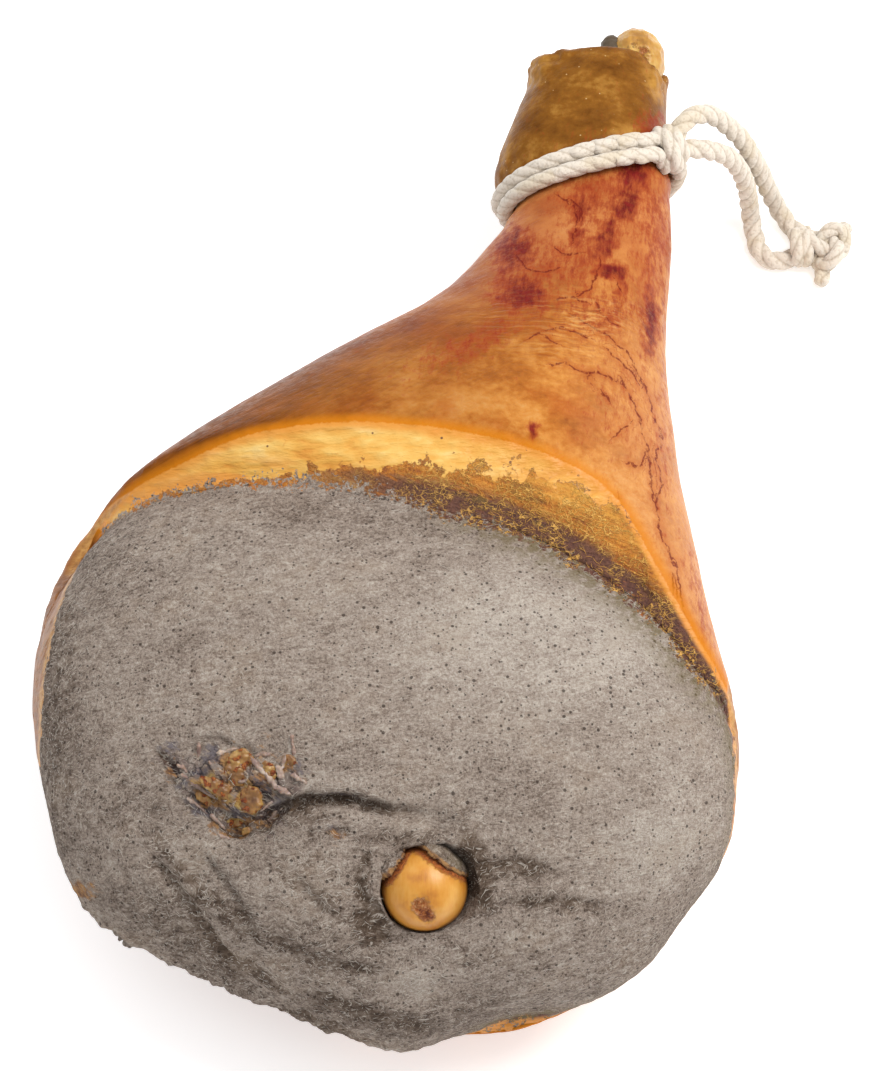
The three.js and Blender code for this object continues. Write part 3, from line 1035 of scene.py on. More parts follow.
        # Painted shade: the most shaded places turn brown.
        tint = s.mix(s.step(tone, -0.1, -0.9, 0, 0.5), tint, (98, 76, 56))
        rough = s.step(shaded, 0.15, 0.7, 0.35, 1.0)
        dashes = ((5.0, 0.62, 2.0), 67, 14), ((3.8, 0.5, 1.8), 71, -38), ((3.0, 0.45, 1.6), 73, 66)
        for size, seed, turn in dashes:
            distance, own = s.cells(size, seed, bent, turn)
            dash = s.both(s.step(distance, 0.42, 0.22), rough)
            tint = s.mix(s.both(dash, s.step(own, 0.76, 0.8), 0.75), tint, (228, 216, 202))
            tint = s.mix(s.both(dash, s.step(own, 0.17, 0.13), 0.5), tint, (88, 72, 62))
        for size, seed, share in ((3.0, 1, 0.5), (1.9, 2, 0.55)):
            distance, own = s.cells(size, seed)
            radius = s.step(own, share, 1.0, 0.06, 0.27)
            speck = s.step(s.math("SUBTRACT", distance, radius), 0.05, -0.06)
            speck = s.both(speck, s.step(own, share, share + 0.03), 0.8)
            tint = s.mix(speck, tint, (64, 50, 42))
        beside = s.both(s.step(s.attribute("seam"), 26, 3), s.step(s.parts(s.place)[0], 5, 55))
        tint = s.mix(s.both(beside, s.step(patch, 0.2, 0.7), 0.75), tint, (122, 104, 58))
        tint, gloss, flakes = self.stained(s, tint, patch)
        relief = ((fine, 0.75), (patch, 0.6), (brushed, 0.35), (flakes, 1.6))
        return s.coat(tint, s.sum((gloss, -0.5), (1.0, 0.92)), relief, Specular_IOR_Level=0.25)

    def stained(self, s: Shader, tint: Tint, patch: Tint) -> tuple[Tint, Tint, Tint]:
        """A colour with the stains that the mesh keeps for each point, their gloss and their relief.

        Args:
            s: the material under construction.
            tint: the lean's own colour.
            patch: its middling lumps.

        Returns:
            The colour, the gloss and the relief.
        """
        flaky = s.grain((5, 1.9, 3), 4, 0.7, turn=-35, seed=83)
        bent = s.shaken(2.2, 5, seed=31)
        distance, own = s.cells((7.5, 3.4, 5.0), 87, bent, -38)
        marred = s.step(s.sum((s.attribute("scar"), 1.0), (flaky, 0.5), (1.0, -0.25)), 0.25, 0.6)
        shard = s.ramp(
            own, (0.0, 96, 74, 78), (0.2, 150, 130, 124), (0.4, 184, 168, 156),
            (0.6, 206, 190, 172), (0.8, 186, 142, 98), (1.0, 112, 82, 76),
        )
        tint = s.mix(s.both(marred, 0.6), tint, shard)
        border = s.step(distance, 0.5, 0.64)
        tint = s.mix(s.both(marred, border, s.step(flaky, 0.66, 0.46), 0.9), tint, (50, 36, 34))
        pale = s.both(s.band(s.sum((distance, 1.0), (1.0, -0.4)), 0.03, 0.08), s.step(own, 0.35, 0.5))
        tint = s.mix(s.both(marred, pale, s.step(flaky, 0.35, 0.6), 0.85), tint, (236, 220, 202))
        stains = (
            ("ink", (134, 126, 132), (64, 50, 60), 0.9),
            ("rust", (206, 152, 92), (112, 66, 44), 0.8),
            ("gold", (228, 190, 108), (180, 116, 44), 0.2),
        )
        gloss = s.both(marred, 0.5)
        for name, light, dark, broken in stains:
            uneven = s.sum((flaky, broken), (patch, broken / 2), (1.0, -0.75 * broken))
            amount = s.step(s.sum((s.attribute(name), 1.0), (uneven, 1.0)), 0.3, 0.85, 0, 0.88)
            tint = s.mix(amount, tint, s.mix(s.step(flaky, 0.2, 0.75), dark, light))
        gloss = s.math("MAXIMUM", gloss, s.step(s.attribute("gold"), 0.3, 0.8))
        return tint, gloss, s.both(marred, s.sum((distance, -0.6), (flaky, 0.6), (own, 0.4)))

    def rind(self, s: Shader, edge: Tint, across: Tint) -> Tint:
        """The waxy surface of the rind.

        Args:
            s: the material under construction.
            edge: the distance from the knife's edge.
            across: the place across the face.

        Returns:
            The surface.
        """
        along = s.parts(s.place)[1]
        cloud = s.grain((42, 30, 34), 4, 0.62, seed=89)
        fine = s.grain(4.0, 4, 0.65, seed=97)
        tint = s.ramp(
            s.sum((cloud, 0.6), (fine, 0.25), (1.0, 0.02)), (0.12, 146, 78, 30), (0.35, 188, 112, 44),
            (0.52, 213, 142, 67), (0.7, 224, 164, 94), (0.92, 236, 190, 128),
        )
        warm = s.grain((24, 34, 30), 2, 0.6, seed=95)
        tint = s.mix(s.step(warm, 0.5, 0.95, 0, 0.4), tint, (184, 86, 34))
        tint = s.mix(s.step(across, 5, -60, 0, 0.6), tint, s.mix(fine, (140, 74, 6), (190, 112, 24)))
        pale = s.both(s.step(across, 70, 125), s.step(along, 190, 60))
        tint = s.mix(s.both(pale, 0.6), tint, s.mix(fine, (200, 128, 74), (228, 170, 112)))
        brushed = s.grain((30, 1.2, 5), 3, 0.6, turn=28, seed=101)
        # Browner on the left side: the flank's own brown with painted shade.
        brown = s.ramp(s.sum((brushed, 0.35), (cloud, 0.5)), (0.15, 84, 42, 8), (0.75, 164, 92, 26))
        tint = s.mix(s.attribute("flank"), tint, brown)
        tint = self.shank(s, tint, cloud, fine)
        tint = self.veins(s, tint, fine)
        tint = s.mix(s.both(s.step(edge, 7.0, 0.0), 0.8), tint, (222, 132, 20))
        wrinkle = s.attribute("wrinkle")
        folds = s.grain((26, 2.2, 2.2), 2, 0.5, turn=3, seed=103, place=s.shaken(1.6, 16, seed=12))
        tint = s.mix(s.both(wrinkle, s.step(folds, 0.42, 0.2), 0.7), tint, (142, 58, 30))
        tint = s.mix(s.both(wrinkle, s.step(folds, 0.55, 0.85), 0.45), tint, (234, 180, 110))
        relief = ((fine, 0.2), (s.both(wrinkle, folds), 0.9), (brushed, 0.1))
        return s.coat(
            tint, s.step(fine, 0.3, 0.75, 0.3, 0.46), relief, Specular_IOR_Level=0.04, Subsurface_Weight=0.08,
            Subsurface_Radius=(0.006, 0.0025, 0.001), Subsurface_Scale=1.0,
        )

    def shank(self, s: Shader, tint: Tint, cloud: Tint, fine: Tint) -> Tint:
        """A rind colour with the shank's redder tint and the olive hock beyond the rope.

        Args:
            s: the material under construction.
            tint: the rind's own colour.
            cloud: its broad lumps.
            fine: its fine ones.

        Returns:
            The colour.
        """
        hock = s.attribute("hock")
        red = s.both(s.step(hock, -110, -45), s.step(hock, 12, -8))
        tint = s.mix(s.both(red, 0.55), tint, s.mix(cloud, (160, 70, 46), (216, 140, 86)))
        olive = s.ramp(
            s.sum((cloud, 0.7), (fine, 0.2), (1.0, 0.02)), (0.15, 92, 50, 14), (0.5, 144, 92, 32),
            (0.85, 206, 152, 72),
        )
        tint = s.mix(s.step(hock, -4, 7), tint, olive)
        distance, own = s.cells(3.4, seed=15)
        fleck = s.both(s.step(distance, 0.16, 0.06), s.step(own, 0.72, 0.76), s.step(hock, 0, 10))
        return s.mix(s.both(fleck, 0.75), tint, (230, 196, 140))

    def veins(self, s: Shader, tint: Tint, fine: Tint) -> Tint:
        """A rind colour with its bruises and its veins.

        Args:
            s: the material under construction.
            tint: the rind's own colour.
            fine: its fine lumps.

        Returns:
            The colour.
        """
        streaks = s.grain((2.4, 11, 7), 4, 0.75, turn=-8, seed=107)
        marks = s.sum((s.attribute("bruise"), 1.0), (streaks, 0.75), (fine, 0.4), (1.0, -0.52))
        tint = s.mix(s.step(marks, 0.2, 0.7, 0, 0.7), tint, (162, 58, 30))
        tint = s.mix(s.step(marks, 0.5, 1.25, 0, 0.94), tint, s.mix(fine, (66, 6, 20), (140, 34, 32)))
        beside = s.sum((s.attribute("vein"), 1.0), (fine, 1.4), (1.0, -0.7))
        near = s.attribute("veined")
        tint = s.mix(s.both(near, s.band(beside, 0.8, 2.6), 0.3), tint, (176, 78, 34))
        vein = s.both(near, s.band(beside, 0.1, 0.55), s.step(streaks, 0.25, 0.55), 0.85)
        return s.mix(vein, tint, (112, 28, 20))


@dataclass(frozen=True)
class BoneFinish:
    """Waxy bone under its gristle, with a rough brown pit, a brown brow below its membrane and painted shade
    towards its outline.
    """

    name: str = "amber_bone"
    dark: tuple = (188, 112, 34)
    middle: tuple = (222, 152, 54)
    light: tuple = (234, 174, 82)

    def material(self) -> Material:
        """The finish as a material."""
        s = Shader(self.name)
        pit, brim = s.attribute("pit"), s.attribute("brim")
        cloud = s.grain(12, 3, 0.55, seed=3)
        fine = s.grain((1.2, 6, 3), 3, 0.6, seed=5)
        crumbs = s.grain(1.5, 4, 0.75, seed=9)
        value = s.sum((cloud, 0.5), (fine, 0.12), (1.0, 0.2))
        tint = s.ramp(value, (0.25, *self.dark), (0.5, *self.middle), (0.75, *self.light))
        # Painted shade: darker towards the ball's outline, where it turns down into the socket.
        tint = s.mix(s.both(s.attribute("rim"), 0.5), tint, self.dark)
        hollow = s.step(s.sum((pit, 1), (crumbs, 0.5), (1.0, -0.25)), 0.3, 0.55)
        deep = s.sum((crumbs, 0.8), (s.attribute("deep"), -0.3), (1.0, 0.1))
        pitted = s.ramp(deep, (0.1, 118, 46, 18), (0.4, 196, 112, 44), (0.7, 232, 176, 120))
        tint = s.mix(hollow, tint, pitted)
        brow = s.step(s.sum((brim, 1), (crumbs, 2.0), (1.0, -1.0)), -2.6, -0.6)
        tint = s.mix(brow, tint, s.ramp(crumbs, (0.2, 104, 42, 16), (0.65, 204, 112, 40)))
        relief = ((fine, 0.06), (s.both(hollow, crumbs), 1.0), (s.both(brow, crumbs), 0.8))
        return s.finish(s.coat(
            tint, s.sum((hollow, 0.3), (brow, 0.3), (1.0, 0.36)), relief, Specular_IOR_Level=0.4,
            Subsurface_Weight=0.2, Subsurface_Radius=(0.006, 0.003, 0.001), Subsurface_Scale=1.0,
        ))


@dataclass
class Studio:
    """The camera where the photograph was taken from, soft lights and a pale floor."""

    lens: float = 100.0
    sensor: float = 36.0

    def camera(self) -> None:
        """Adds the camera."""
        back = Vector((0, -math.cos(ELEVATION), math.sin(ELEVATION)))
        at = Vector(placed(TARGET)) + back * DISTANCE * MM
        bpy.ops.object.camera_add(location=at, rotation=(math.pi / 2 - ELEVATION, 0, 0))
        camera = bpy.context.object
        camera.name = "camera"
        camera.data.lens = self.lens
        camera.data.sensor_width = self.sensor
        camera.data.clip_end = 20.0
        bpy.context.scene.camera = camera

    def lamp(self, name: str, at: Place, size: float, power: float, tint: Place) -> None:
        """Adds one round soft light that looks at the ham.

        Args:
            name: what it is called.
            at: where it hangs, in metres.
            size: how wide it is, in metres.
            power: its power in watts.
            tint: its colour.
        """
        aim = Vector((0.0, 0.0, 0.06)) - Vector(at)
        bpy.ops.object.light_add(type="AREA", location=at, rotation=aim.to_track_quat("-Z", "Y").to_euler())
        lamp = bpy.context.object
        lamp.name = name
        lamp.data.shape = "DISK"
        lamp.data.size = size
        lamp.data.energy = power
        lamp.data.color = tint

    def light(self) -> None:
        """Adds the lights and the bright surroundings."""
        self.lamp("key_light", (0.75, 0.15, 1.4), 0.9, 23.0, (1.0, 0.985, 0.965))
        self.lamp("fill_light", (-0.7, 0.2, 1.6), 1.4, 4.0, (0.98, 0.99, 1.0))
        world = bpy.data.worlds.new("surroundings")
        bpy.context.scene.world = world
        world.use_nodes = True
        sky = world.node_tree.nodes["Background"]
        sky.inputs["Color"].default_value = (0.97, 0.985, 1.0, 1.0)
        sky.inputs["Strength"].default_value = 0.78
        bpy.context.scene.view_settings.view_transform = "Standard"

    def floor(self) -> None:
        """Adds the floor."""
        bpy.ops.mesh.primitive_plane_add(size=12.0)
        floor = bpy.context.object
        floor.name = "floor"
        floor.data.materials.append(PlainFinish("floor_paper", (0.96, 0.96, 0.96, 1.0), 0.9, 0.4).material())

    def build(self) -> None:
        """Sets up the studio, with the camera first."""
        self.camera()
        self.light()
        self.floor()


@dataclass
class HangingRope:
    """Twisted cotton rope: a doubled band round the shank, a hitch, and two tails knotted at their end."""

    strands: int = 3
    lay: float = 27.0  # millimetres of rope in one turn of its strands
    around: int = 42
    step: float = 1.0
    tail_radius: float = 5.2
    band_radius: float = 4.1
    band_samples: int = 44
    hidden: float = math.radians(7)  # half of the band's turn that the hitch hides
    hitch_at: Place = (138.0, 192.0, 94.0)
    hitch_ring: float = 8.3
    hitch_radius: float = 4.3
    hitch_turn: float = 0.4
    hitch_turns: float = 2.1
    hitch_start: float = 2.6
    hitch_reach: float = 10.5
    hitch_steps: int = 30
    knot_at: Place = (228.0, 191.0, 11.8)
    knot_size: float = 4.0
    knot_rise: float = 4.4
    knot_radius: float = 4.1
    knot_steps: int = 32
    tips: tuple = (
        ((227, 189, 10), (226, 181, 7), (225, 172, 5.2)), ((230, 196, 10), (235, 201, 8), (240, 206, 7)),
    )
    tip_radius: float = 4.4
    caps: tuple = ((0.82, 0.25), (0.55, 0.42), (0.02, 0.5))  # the size and the reach of each ring of an end
    collar_at: Place = (215.0, 191.0, 10.4)
    collar_ring: tuple[float, float] = (7.4, 5.9)
    collar_reach: float = 8.0
    collar_turns: float = 1.8

    def tube(
        self, name: str, points: Sequence, radius: float, valley: float = 0.76, closed: bool = False,
    ) -> Thing:
        """A length of twisted rope.

        Args:
            name: the piece's name.
            points: its route, in the drawing.
            radius: the rope's radius, in millimetres.
            valley: the radius between two strands, as a share of the rope's.
            closed: whether its end joins its start.

        Returns:
            The rope as a mesh with a UV map along and round it.
        """
        path = even_steps(smooth_curve(points, closed), self.step)
        if closed:
            path = np.concatenate([path, path[:1]])
        forward = np.gradient(path, axis=0)
        forward /= np.linalg.norm(forward, axis=1)[:, None]
        side = np.cross(forward[0], (0.3, 0.2, 1.0))
        sides = []
        for direction in forward:
            side = side - direction * (side @ direction)
            side /= np.linalg.norm(side)
            sides.append(side)
        sides = np.array(sides)
        ups = np.cross(forward, sides)
        angle = np.linspace(0, 2 * math.pi, self.around, endpoint=False)
        twist = 2 * math.pi * np.arange(len(path)) * self.step / self.lay
        lobe = np.abs(np.cos(self.strands / 2 * (angle[None, :] - twist[:, None]))) ** 0.7
        reach = radius * (valley + (1 - valley) * lobe)
        around, along = range(self.around), range(len(path))
        waver = [[noise.noise((i * 0.21, j * 0.35, radius)) for j in around] for i in along]
        reach *= 1 + 0.05 * np.array(waver)
        ring = np.cos(angle)[None, :, None] * sides[:, None] + np.sin(angle)[None, :, None] * ups[:, None]
        rings = path[:, None] + ring * reach[:, :, None]
        if not closed:
            rings = self.with_round_ends(rings, path, forward, radius)
            lobe = np.concatenate([lobe[:1]] * 3 + [lobe] + [lobe[-1:]] * 3)
        return self.skin(name, rings, lobe, closed)

    def with_round_ends(
        self, rings: Array, path: Array, forward: Array, radius: float,
    ) -> Array:
        """The rope's rings with smaller ones beyond each end, so that it ends in a dome.

        Args:
            rings: the rings of points.
            path: the rope's middle line.
            forward: the direction of each of its points.
            radius: the rope's radius, in millimetres.

        Returns:
            The rings with those of both ends.
        """
        ends = []
        for k, way in ((0, -1), (-1, 1)):
            beyond = way * forward[k] * radius
            ends.append([path[k] + beyond * out + (rings[k] - path[k]) * size for size, out in self.caps])
        return np.concatenate([np.array(ends[0][::-1]), rings, np.array(ends[1])])

    def skin(self, name: str, rings: Array, lobe: Array, closed: bool) -> Thing:
        """A mesh over rings of points, with its UV map and the depth of its valleys.

        Args:
            name: the piece's name.
            rings: the rings, in the drawing.
            lobe: how high each point is on its strand, from 0 to 1.
            closed: whether the last ring is the first one again.

        Returns:
            The piece.
        """
        around = rings.shape[1]
        used = rings[:-1] if closed else rings
        count = len(used)
        faces, places = [], []
        for i in range(count if closed else count - 1):
            for j in range(around):
                k, after = (j + 1) % around, (i + 1) % count
                faces.append((i * around + j, i * around + k, after * around + k, after * around + j))
                start, end = i * self.step, (i + 1) * self.step
                low, high = j / around, (j + 1) / around
                places += [(start, low), (start, high), (end, high), (end, low)]
        if not closed:
            faces.append(tuple(range(around))[::-1])
            faces.append(tuple((count - 1) * around + j for j in range(around)))
            places += [(0.0, 0.0)] * (2 * around)
        piece = new_piece(name, used, faces)
        layer = piece.data.uv_layers.new(name="lay")
        layer.data.foreach_set("uv", np.array(places, float).ravel())
        Form(piece).store(valley=1 - lobe[:count].ravel())
        turn_outward(piece)
        smooth(piece)
        piece.data.materials.append(self.cotton)
        return piece

    def band_route(self, node: str) -> Array:
        """The middle line of one strand of the band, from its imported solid, open where the hitch hides it.

        Args:
            node: the solid's name.

        Returns:
            The line's points, in the drawing.
        """
        points = drawn([v.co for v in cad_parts[node].data.vertices])
        middle = points.mean(axis=0)
        angle = np.arctan2(points[:, 2] - middle[2], points[:, 0] - middle[0])
        start = math.atan2(self.hitch_at[2] - middle[2], self.hitch_at[0] - middle[0])
        spread = math.pi / self.band_samples * 1.6
        route = []
        for target in np.linspace(start + self.hidden, start + 2 * math.pi - self.hidden, self.band_samples):
            away = (angle - target + math.pi) % (2 * math.pi) - math.pi
            weight = bell(away, spread)
            route.append((points * weight[:, None]).sum(axis=0) / weight.sum())
        return np.array(route)

    def band(self) -> None:
        """Adds the doubled strand round the shank."""
        for node in ("rope_band_upper", "rope_band_lower"):
            piece = self.tube(f"cotton_{node}", self.band_route(node), self.band_radius, 0.85)
            hand_over(piece, Slot.ROPE, node)

    def hitch(self) -> None:
        """Adds the two wraps of the hitch that gathers the band."""
        axis = np.array([math.cos(self.hitch_turn), math.sin(self.hitch_turn), 0.0])
        level = np.array([-axis[1], axis[0], 0.0])
        up = np.array([0.0, 0.0, 1.0])
        route = []
        for share in np.linspace(0, 1, self.hitch_steps):
            turn = 2 * math.pi * self.hitch_turns * share + self.hitch_start
            ring = self.hitch_ring * (1 - 0.35 * abs(2 * share - 1) ** 4)
            away = level * ring * math.cos(turn) * 1.1 + up * ring * math.sin(turn)
            route.append(np.array(self.hitch_at) + axis * (share - 0.5) * self.hitch_reach + away)
        piece = self.tube("cotton_hitch", route, self.hitch_radius)
        hand_over(piece, Slot.ROPE, "rope_hitch")

    def collar(self) -> list[Array]:
        """The route of the wraps that hold the two tails at the knot."""
        route = []
        for share in np.linspace(0, 1, 26):
            turn = 2 * math.pi * self.collar_turns * share + 0.6
            ring = (0, self.collar_ring[0] * math.cos(turn), self.collar_ring[1] * math.sin(turn))
            route.append(np.array(self.collar_at) + ring + (self.collar_reach * (share - 0.5), 0, 0))
        return route

    def end_knot(self) -> Thing:
        """Adds the knot at the tails' end, with two short cut tips.

        Returns:
            The knot.
        """
        at = np.array(self.knot_at)
        route = []
        for t in np.linspace(0, 2 * math.pi, self.knot_steps, endpoint=False):
            x = math.sin(t) + 2 * math.sin(2 * t)
            y = math.cos(t) - 2 * math.cos(2 * t)
            away = (x * self.knot_size * 0.92, y * self.knot_size, -math.sin(3 * t) * self.knot_rise)
            route.append(at + away)
        knot = self.tube("cotton_end_knot", route, self.knot_radius, closed=True)
        tips = [self.tube("tip", points, self.tip_radius) for points in self.tips]
        tips.append(self.tube("collar", self.collar(), self.knot_radius))
        select_only(knot)
        for tip in tips:
            tip.select_set(True)
        bpy.ops.object.join()
        hand_over(knot, Slot.ROPE, "rope_end_knot")
        return knot

    def tails(self, knot: Thing) -> None:
        """Args:
            knot: the knot that holds their ends; not used.
        """
        for node, points in (("rope_tail_upper", UPPER_TAIL), ("rope_tail_lower", LOWER_TAIL)):
            path = placed(even_steps(smooth_curve(points), self.step * 4))
            piece = self.tube(f"cotton_{node}", points, self.tail_radius)
            hand_over(piece, Slot.ROPE, node)
            length = float(np.linalg.norm(np.diff(path, axis=0), axis=1).sum())

    def build(self) -> None:
        """Makes the whole rope."""
        self.cotton = CottonFinish().material()
        self.tails(self.end_knot())
        self.band()
        self.hitch()


@dataclass(frozen=True)
class Oval:
    """A soft oval mark, placed in the photograph's pixels, turned clockwise by some degrees."""

    x: float
    y: float
    wide: float
    high: float
    turn: float = 0.0
    amount: float = 1.0


def ovals(*rows: Sequence[float]) -> tuple[Oval, ...]:
    """Ovals from rows of their numbers."""
    return tuple(Oval(*row) for row in rows)


@dataclass(frozen=True)
class Furrow:
    """A furrow along a route in the photograph's pixels.

    Its depth and the brow above it are in millimetres, and its shade is how dark the painted shade in its
    hollow is.
    """

    route: tuple
    wide: float
    depth: float
    brow: float = 0.0
    shade: float = 0.6
    steep: float = 2.2  # how much steeper its upper side is than its lower one
    brow_at: float = 1.3  # how far above it the brow is, in its widths


BRUISES = ovals(
    (633, 172, 19, 28, 0, 1.15), (626, 204, 17, 26, 20, 1.1), (606, 236, 13, 36, 20, 1.0),
    (580, 210, 12, 26, -5, 0.95), (577, 234, 10, 14, 0, 0.95), (515, 250, 23, 26, 15, 1.1),
    (522, 294, 32, 20, 10, 1.1), (610, 271, 18, 9, 0, 1.25), (620, 284, 7, 16, -25, 0.9),
    (651, 322, 11, 40, 0, 1.1), (585, 255, 26, 50, 0, 0.5), (655, 240, 26, 110, 0, 0.5),
    (600, 200, 52, 50, 0, 0.55),
    (534, 431, 5, 11, 0, 1.0), (652, 128, 20, 18, 0, 0.7), (560, 265, 60, 36, 0, 0.5),
    (470, 345, 70, 18, -25, 0.45), (610, 310, 60, 34, 0, 0.5), (664, 440, 14, 110, 0, 0.38),
    (700, 600, 12, 70, -12, 0.45), (560, 180, 22, 16, 0, 0.4), (440, 360, 40, 14, -25, 0.35),
    (625, 400, 50, 70, 0, 0.3),
)
VEINS = (
    ((556, 249), (561, 254), (570, 255), (581, 254)),
    ((570, 201), (581, 208), (582, 216)),
    ((529, 339), (538, 334), (559, 329), (570, 331), (589, 338)),
    ((538, 334), (547, 338), (556, 343)),
    ((552, 364), (564, 363), (575, 369), (592, 372), (609, 376), (624, 386)),
    ((589, 376), (592, 385)),
    ((608, 350), (620, 361), (633, 375), (641, 388)),
    ((602, 392), (608, 400)),
    ((612, 278), (622, 294)),
    ((654, 420), (662, 441), (656, 457), (662, 481), (657, 503), (662, 536), (672, 560), (673, 597)),
    ((619, 497), (624, 519)),
    ((648, 444), (640, 466), (629, 463)),
    ((630, 423), (614, 437)),
    ((596, 304), (606, 318), (618, 325)),
    ((556, 300), (570, 297), (586, 303)),
    ((620, 378), (634, 404), (642, 430), (650, 462), (654, 500)),
    ((574, 316), (598, 330), (626, 352), (644, 384), (652, 410)),
    ((676, 560), (680, 590), (688, 624), (700, 650)),
    ((516, 256), (528, 268), (545, 272), (560, 268)),
    ((560, 198), (572, 206), (577, 222), (572, 240)),
    ((600, 262), (592, 284), (580, 296)),
)
FURROWS = (
    Furrow(((252, 836), (262, 824), (271, 814), (283, 806), (297, 801), (320, 797), (349, 797), (372, 804),
            (411, 813), (440, 818)), 7, 4.5, 2.2, 0.95),
    Furrow(((152, 748), (165, 757), (180, 770), (197, 784), (215, 800), (236, 812), (252, 822)), 4, 1.8, 0.8),
    Furrow(((190, 783), (203, 803), (215, 820), (225, 830), (240, 834), (258, 828)), 4, 1.6, 0.6),
    Furrow(((250, 756), (262, 776), (275, 790), (290, 800)), 4, 1.6, 1.4),
    Furrow(((288, 872), (305, 890), (320, 905), (335, 922)), 10, 1.2, 0.3, 0.2),
    Furrow(((372, 850), (363, 866), (360, 882), (366, 898), (380, 916)), 5, 1.8, 0.5, 0.9),
    Furrow(((150, 850), (172, 880), (198, 915), (226, 950), (250, 975)), 9, 2.2, 0.8, 0.5),
    Furrow(((200, 850), (225, 880), (250, 920), (262, 950)), 8, 1.8, 0.8, 0.4),
    Furrow(((205, 985), (260, 1005), (320, 1018), (372, 1040)), 8, 1.8, 0.6, 0.5),
    Furrow(((262, 930), (300, 952), (350, 966), (400, 968)), 9, 1.4, 0.6, 0.4),
    Furrow(((500, 905), (560, 900), (620, 912)), 9, 1.1, 0.5, 0.35),
    Furrow(((690, 655), (704, 672), (718, 694), (732, 722), (738, 745)), 4, 1.4, 0.5, 0.9),
    Furrow(((296, 838), (330, 830), (360, 834)), 5, 1.0, 0.4, 0.4),
    Furrow(((300, 985), (350, 1003), (410, 1022), (440, 1025)), 8, 1.2, 0.4, 0.4),
    Furrow(((480, 868), (520, 862), (560, 872)), 12, 1.2, 0.5, 0.3),
    Furrow(((190, 742), (215, 738), (240, 748), (262, 752)), 5, 1.2, 0.8, 0.4),
)
DENTS = ovals(
    (370, 922, 18, 20, 0, 2.5), (230, 795, 46, 30, 30, 1.8), (520, 872, 26, 20, 0, 0.8),
    (190, 870, 40, 30, 40, 1.4), (646, 592, 8, 13, -25, 3.0), (458, 1012, 9, 6, 0, 2.0),
)
BULGES = ovals(
    (540, 64, 15, 14, 0, 5.0), (405, 1042, 24, 10, 0, 3.0), (498, 180, 14, 24, 0, 2.0),
    (662, 70, 12, 16, 0, 2.6), (560, 52, 12, 6, 0, 2.0), (249, 803, 11, 12, 0, 2.6),
    (238, 765, 12, 11, 0, 1.8), (214, 788, 24, 5, 28, 1.2), (232, 826, 24, 5, -10, 1.2),
)
# Painted shade on the face: darker left and bottom edges, hollows, the crease under the brow, the socket's
# gap beside the ball and the cracks round the gristle.
SHADES = ovals(
    (52, 700, 30, 210, 0, 0.6), (95, 560, 50, 60, -45, 0.35), (300, 814, 34, 12, 0, 0.8),
    (372, 922, 20, 22, 0, 1.6), (520, 868, 30, 14, 0, 0.7), (400, 1015, 200, 30, 0, 0.5),
    (200, 950, 110, 36, 38, 0.55), (715, 880, 24, 60, 20, 0.4), (476, 872, 13, 34, -12, 2.4),
    (410, 838, 60, 10, 0, 0.6), (240, 800, 70, 40, 20, 0.4), (640, 950, 90, 26, -35, 0.35),
    (458, 1012, 10, 7, 0, 1.0), (420, 520, 160, 16, 5, 0.25), (646, 592, 7, 13, -25, 1.2),
    (330, 950, 90, 40, 10, 0.35), (120, 800, 60, 60, 0, 0.25), (300, 870, 50, 30, 40, 0.3),
    (265, 784, 3, 16, -40, 1.6), (214, 796, 30, 3, 33, 1.5), (190, 776, 30, 3, 35, 1.4),
    (222, 768, 3, 14, 15, 1.3), (256, 820, 22, 3, -38, 1.5), (365, 885, 4, 22, 8, 1.6),
    (290, 778, 4, 14, -20, 1.0), (215, 905, 60, 9, 40, 0.9), (250, 965, 70, 8, 32, 0.8),
    (330, 905, 50, 9, 45, 0.7), (170, 860, 40, 9, 50, 0.8), (480, 960, 90, 12, 8, 0.4),
    (430, 1000, 60, 10, 10, 0.5), (560, 905, 70, 10, 8, 0.4),
)
# Painted light on the face, brightest at its middle and right where the key light falls and on lit ridges;
# the thin ovals are pale torn edges of the gristle with painted light on them.
LIGHTS = ovals(
    (600, 650, 110, 80, 0, 0.8), (330, 590, 130, 60, 0, 0.15), (660, 830, 60, 80, 0, 0.75),
    (415, 985, 26, 22, 0, 0.7), (330, 780, 40, 10, 0, 0.5), (530, 640, 130, 80, 0, 0.9),
    (700, 720, 30, 60, 0, 0.2), (560, 700, 160, 40, 12, 0.4), (256, 772, 3, 13, -40, 2.0),
    (292, 746, 3, 11, -8, 2.0), (276, 788, 3, 12, -50, 1.6), (226, 746, 26, 3, 10, 0.8),
    (272, 806, 24, 3, -28, 1.2),
)
RUST = ovals(
    (233, 762, 15, 14), (217, 793, 28, 7, 28), (170, 775, 9, 8), (267, 773, 8, 10),
    (290, 763, 8, 10), (213, 803, 20, 9, 30, 0.9), (243, 826, 26, 8, -15, 0.9), (214, 829, 6, 4),
    (337, 836, 8, 7, 0, 0.9), (84, 888, 15, 8, 15, 1.1), (255, 765, 52, 26, 0, 0.42),
    (232, 780, 44, 22, 20, 0.55),
)
GOLD = ovals(
    (248, 800, 13, 15, 0, 1.3), (237, 763, 14, 13, 0, 0.8), (216, 787, 28, 8, 26, 1.0),
    (238, 782, 6, 12, 0, 0.7), (230, 801, 12, 5, 20, 0.7), (200, 790, 12, 5, 30, 0.6),
)
INK = ovals(
    (199, 771, 12, 7), (212, 757, 16, 10, 0, 0.9), (187, 785, 12, 7, 0, 0.9), (172, 749, 14, 8, 0, 0.75),
    (236, 816, 20, 7, 20, 0.9), (263, 785, 7, 16, -35, 1.0), (298, 768, 10, 10, 0, 0.8),
    (336, 830, 8, 6, 0, 0.8), (203, 808, 18, 8, 30, 1.0), (282, 800, 18, 6, -30, 0.8),
    (225, 795, 60, 34, 20, 0.3), (335, 795, 26, 5, 0, 0.6),
)
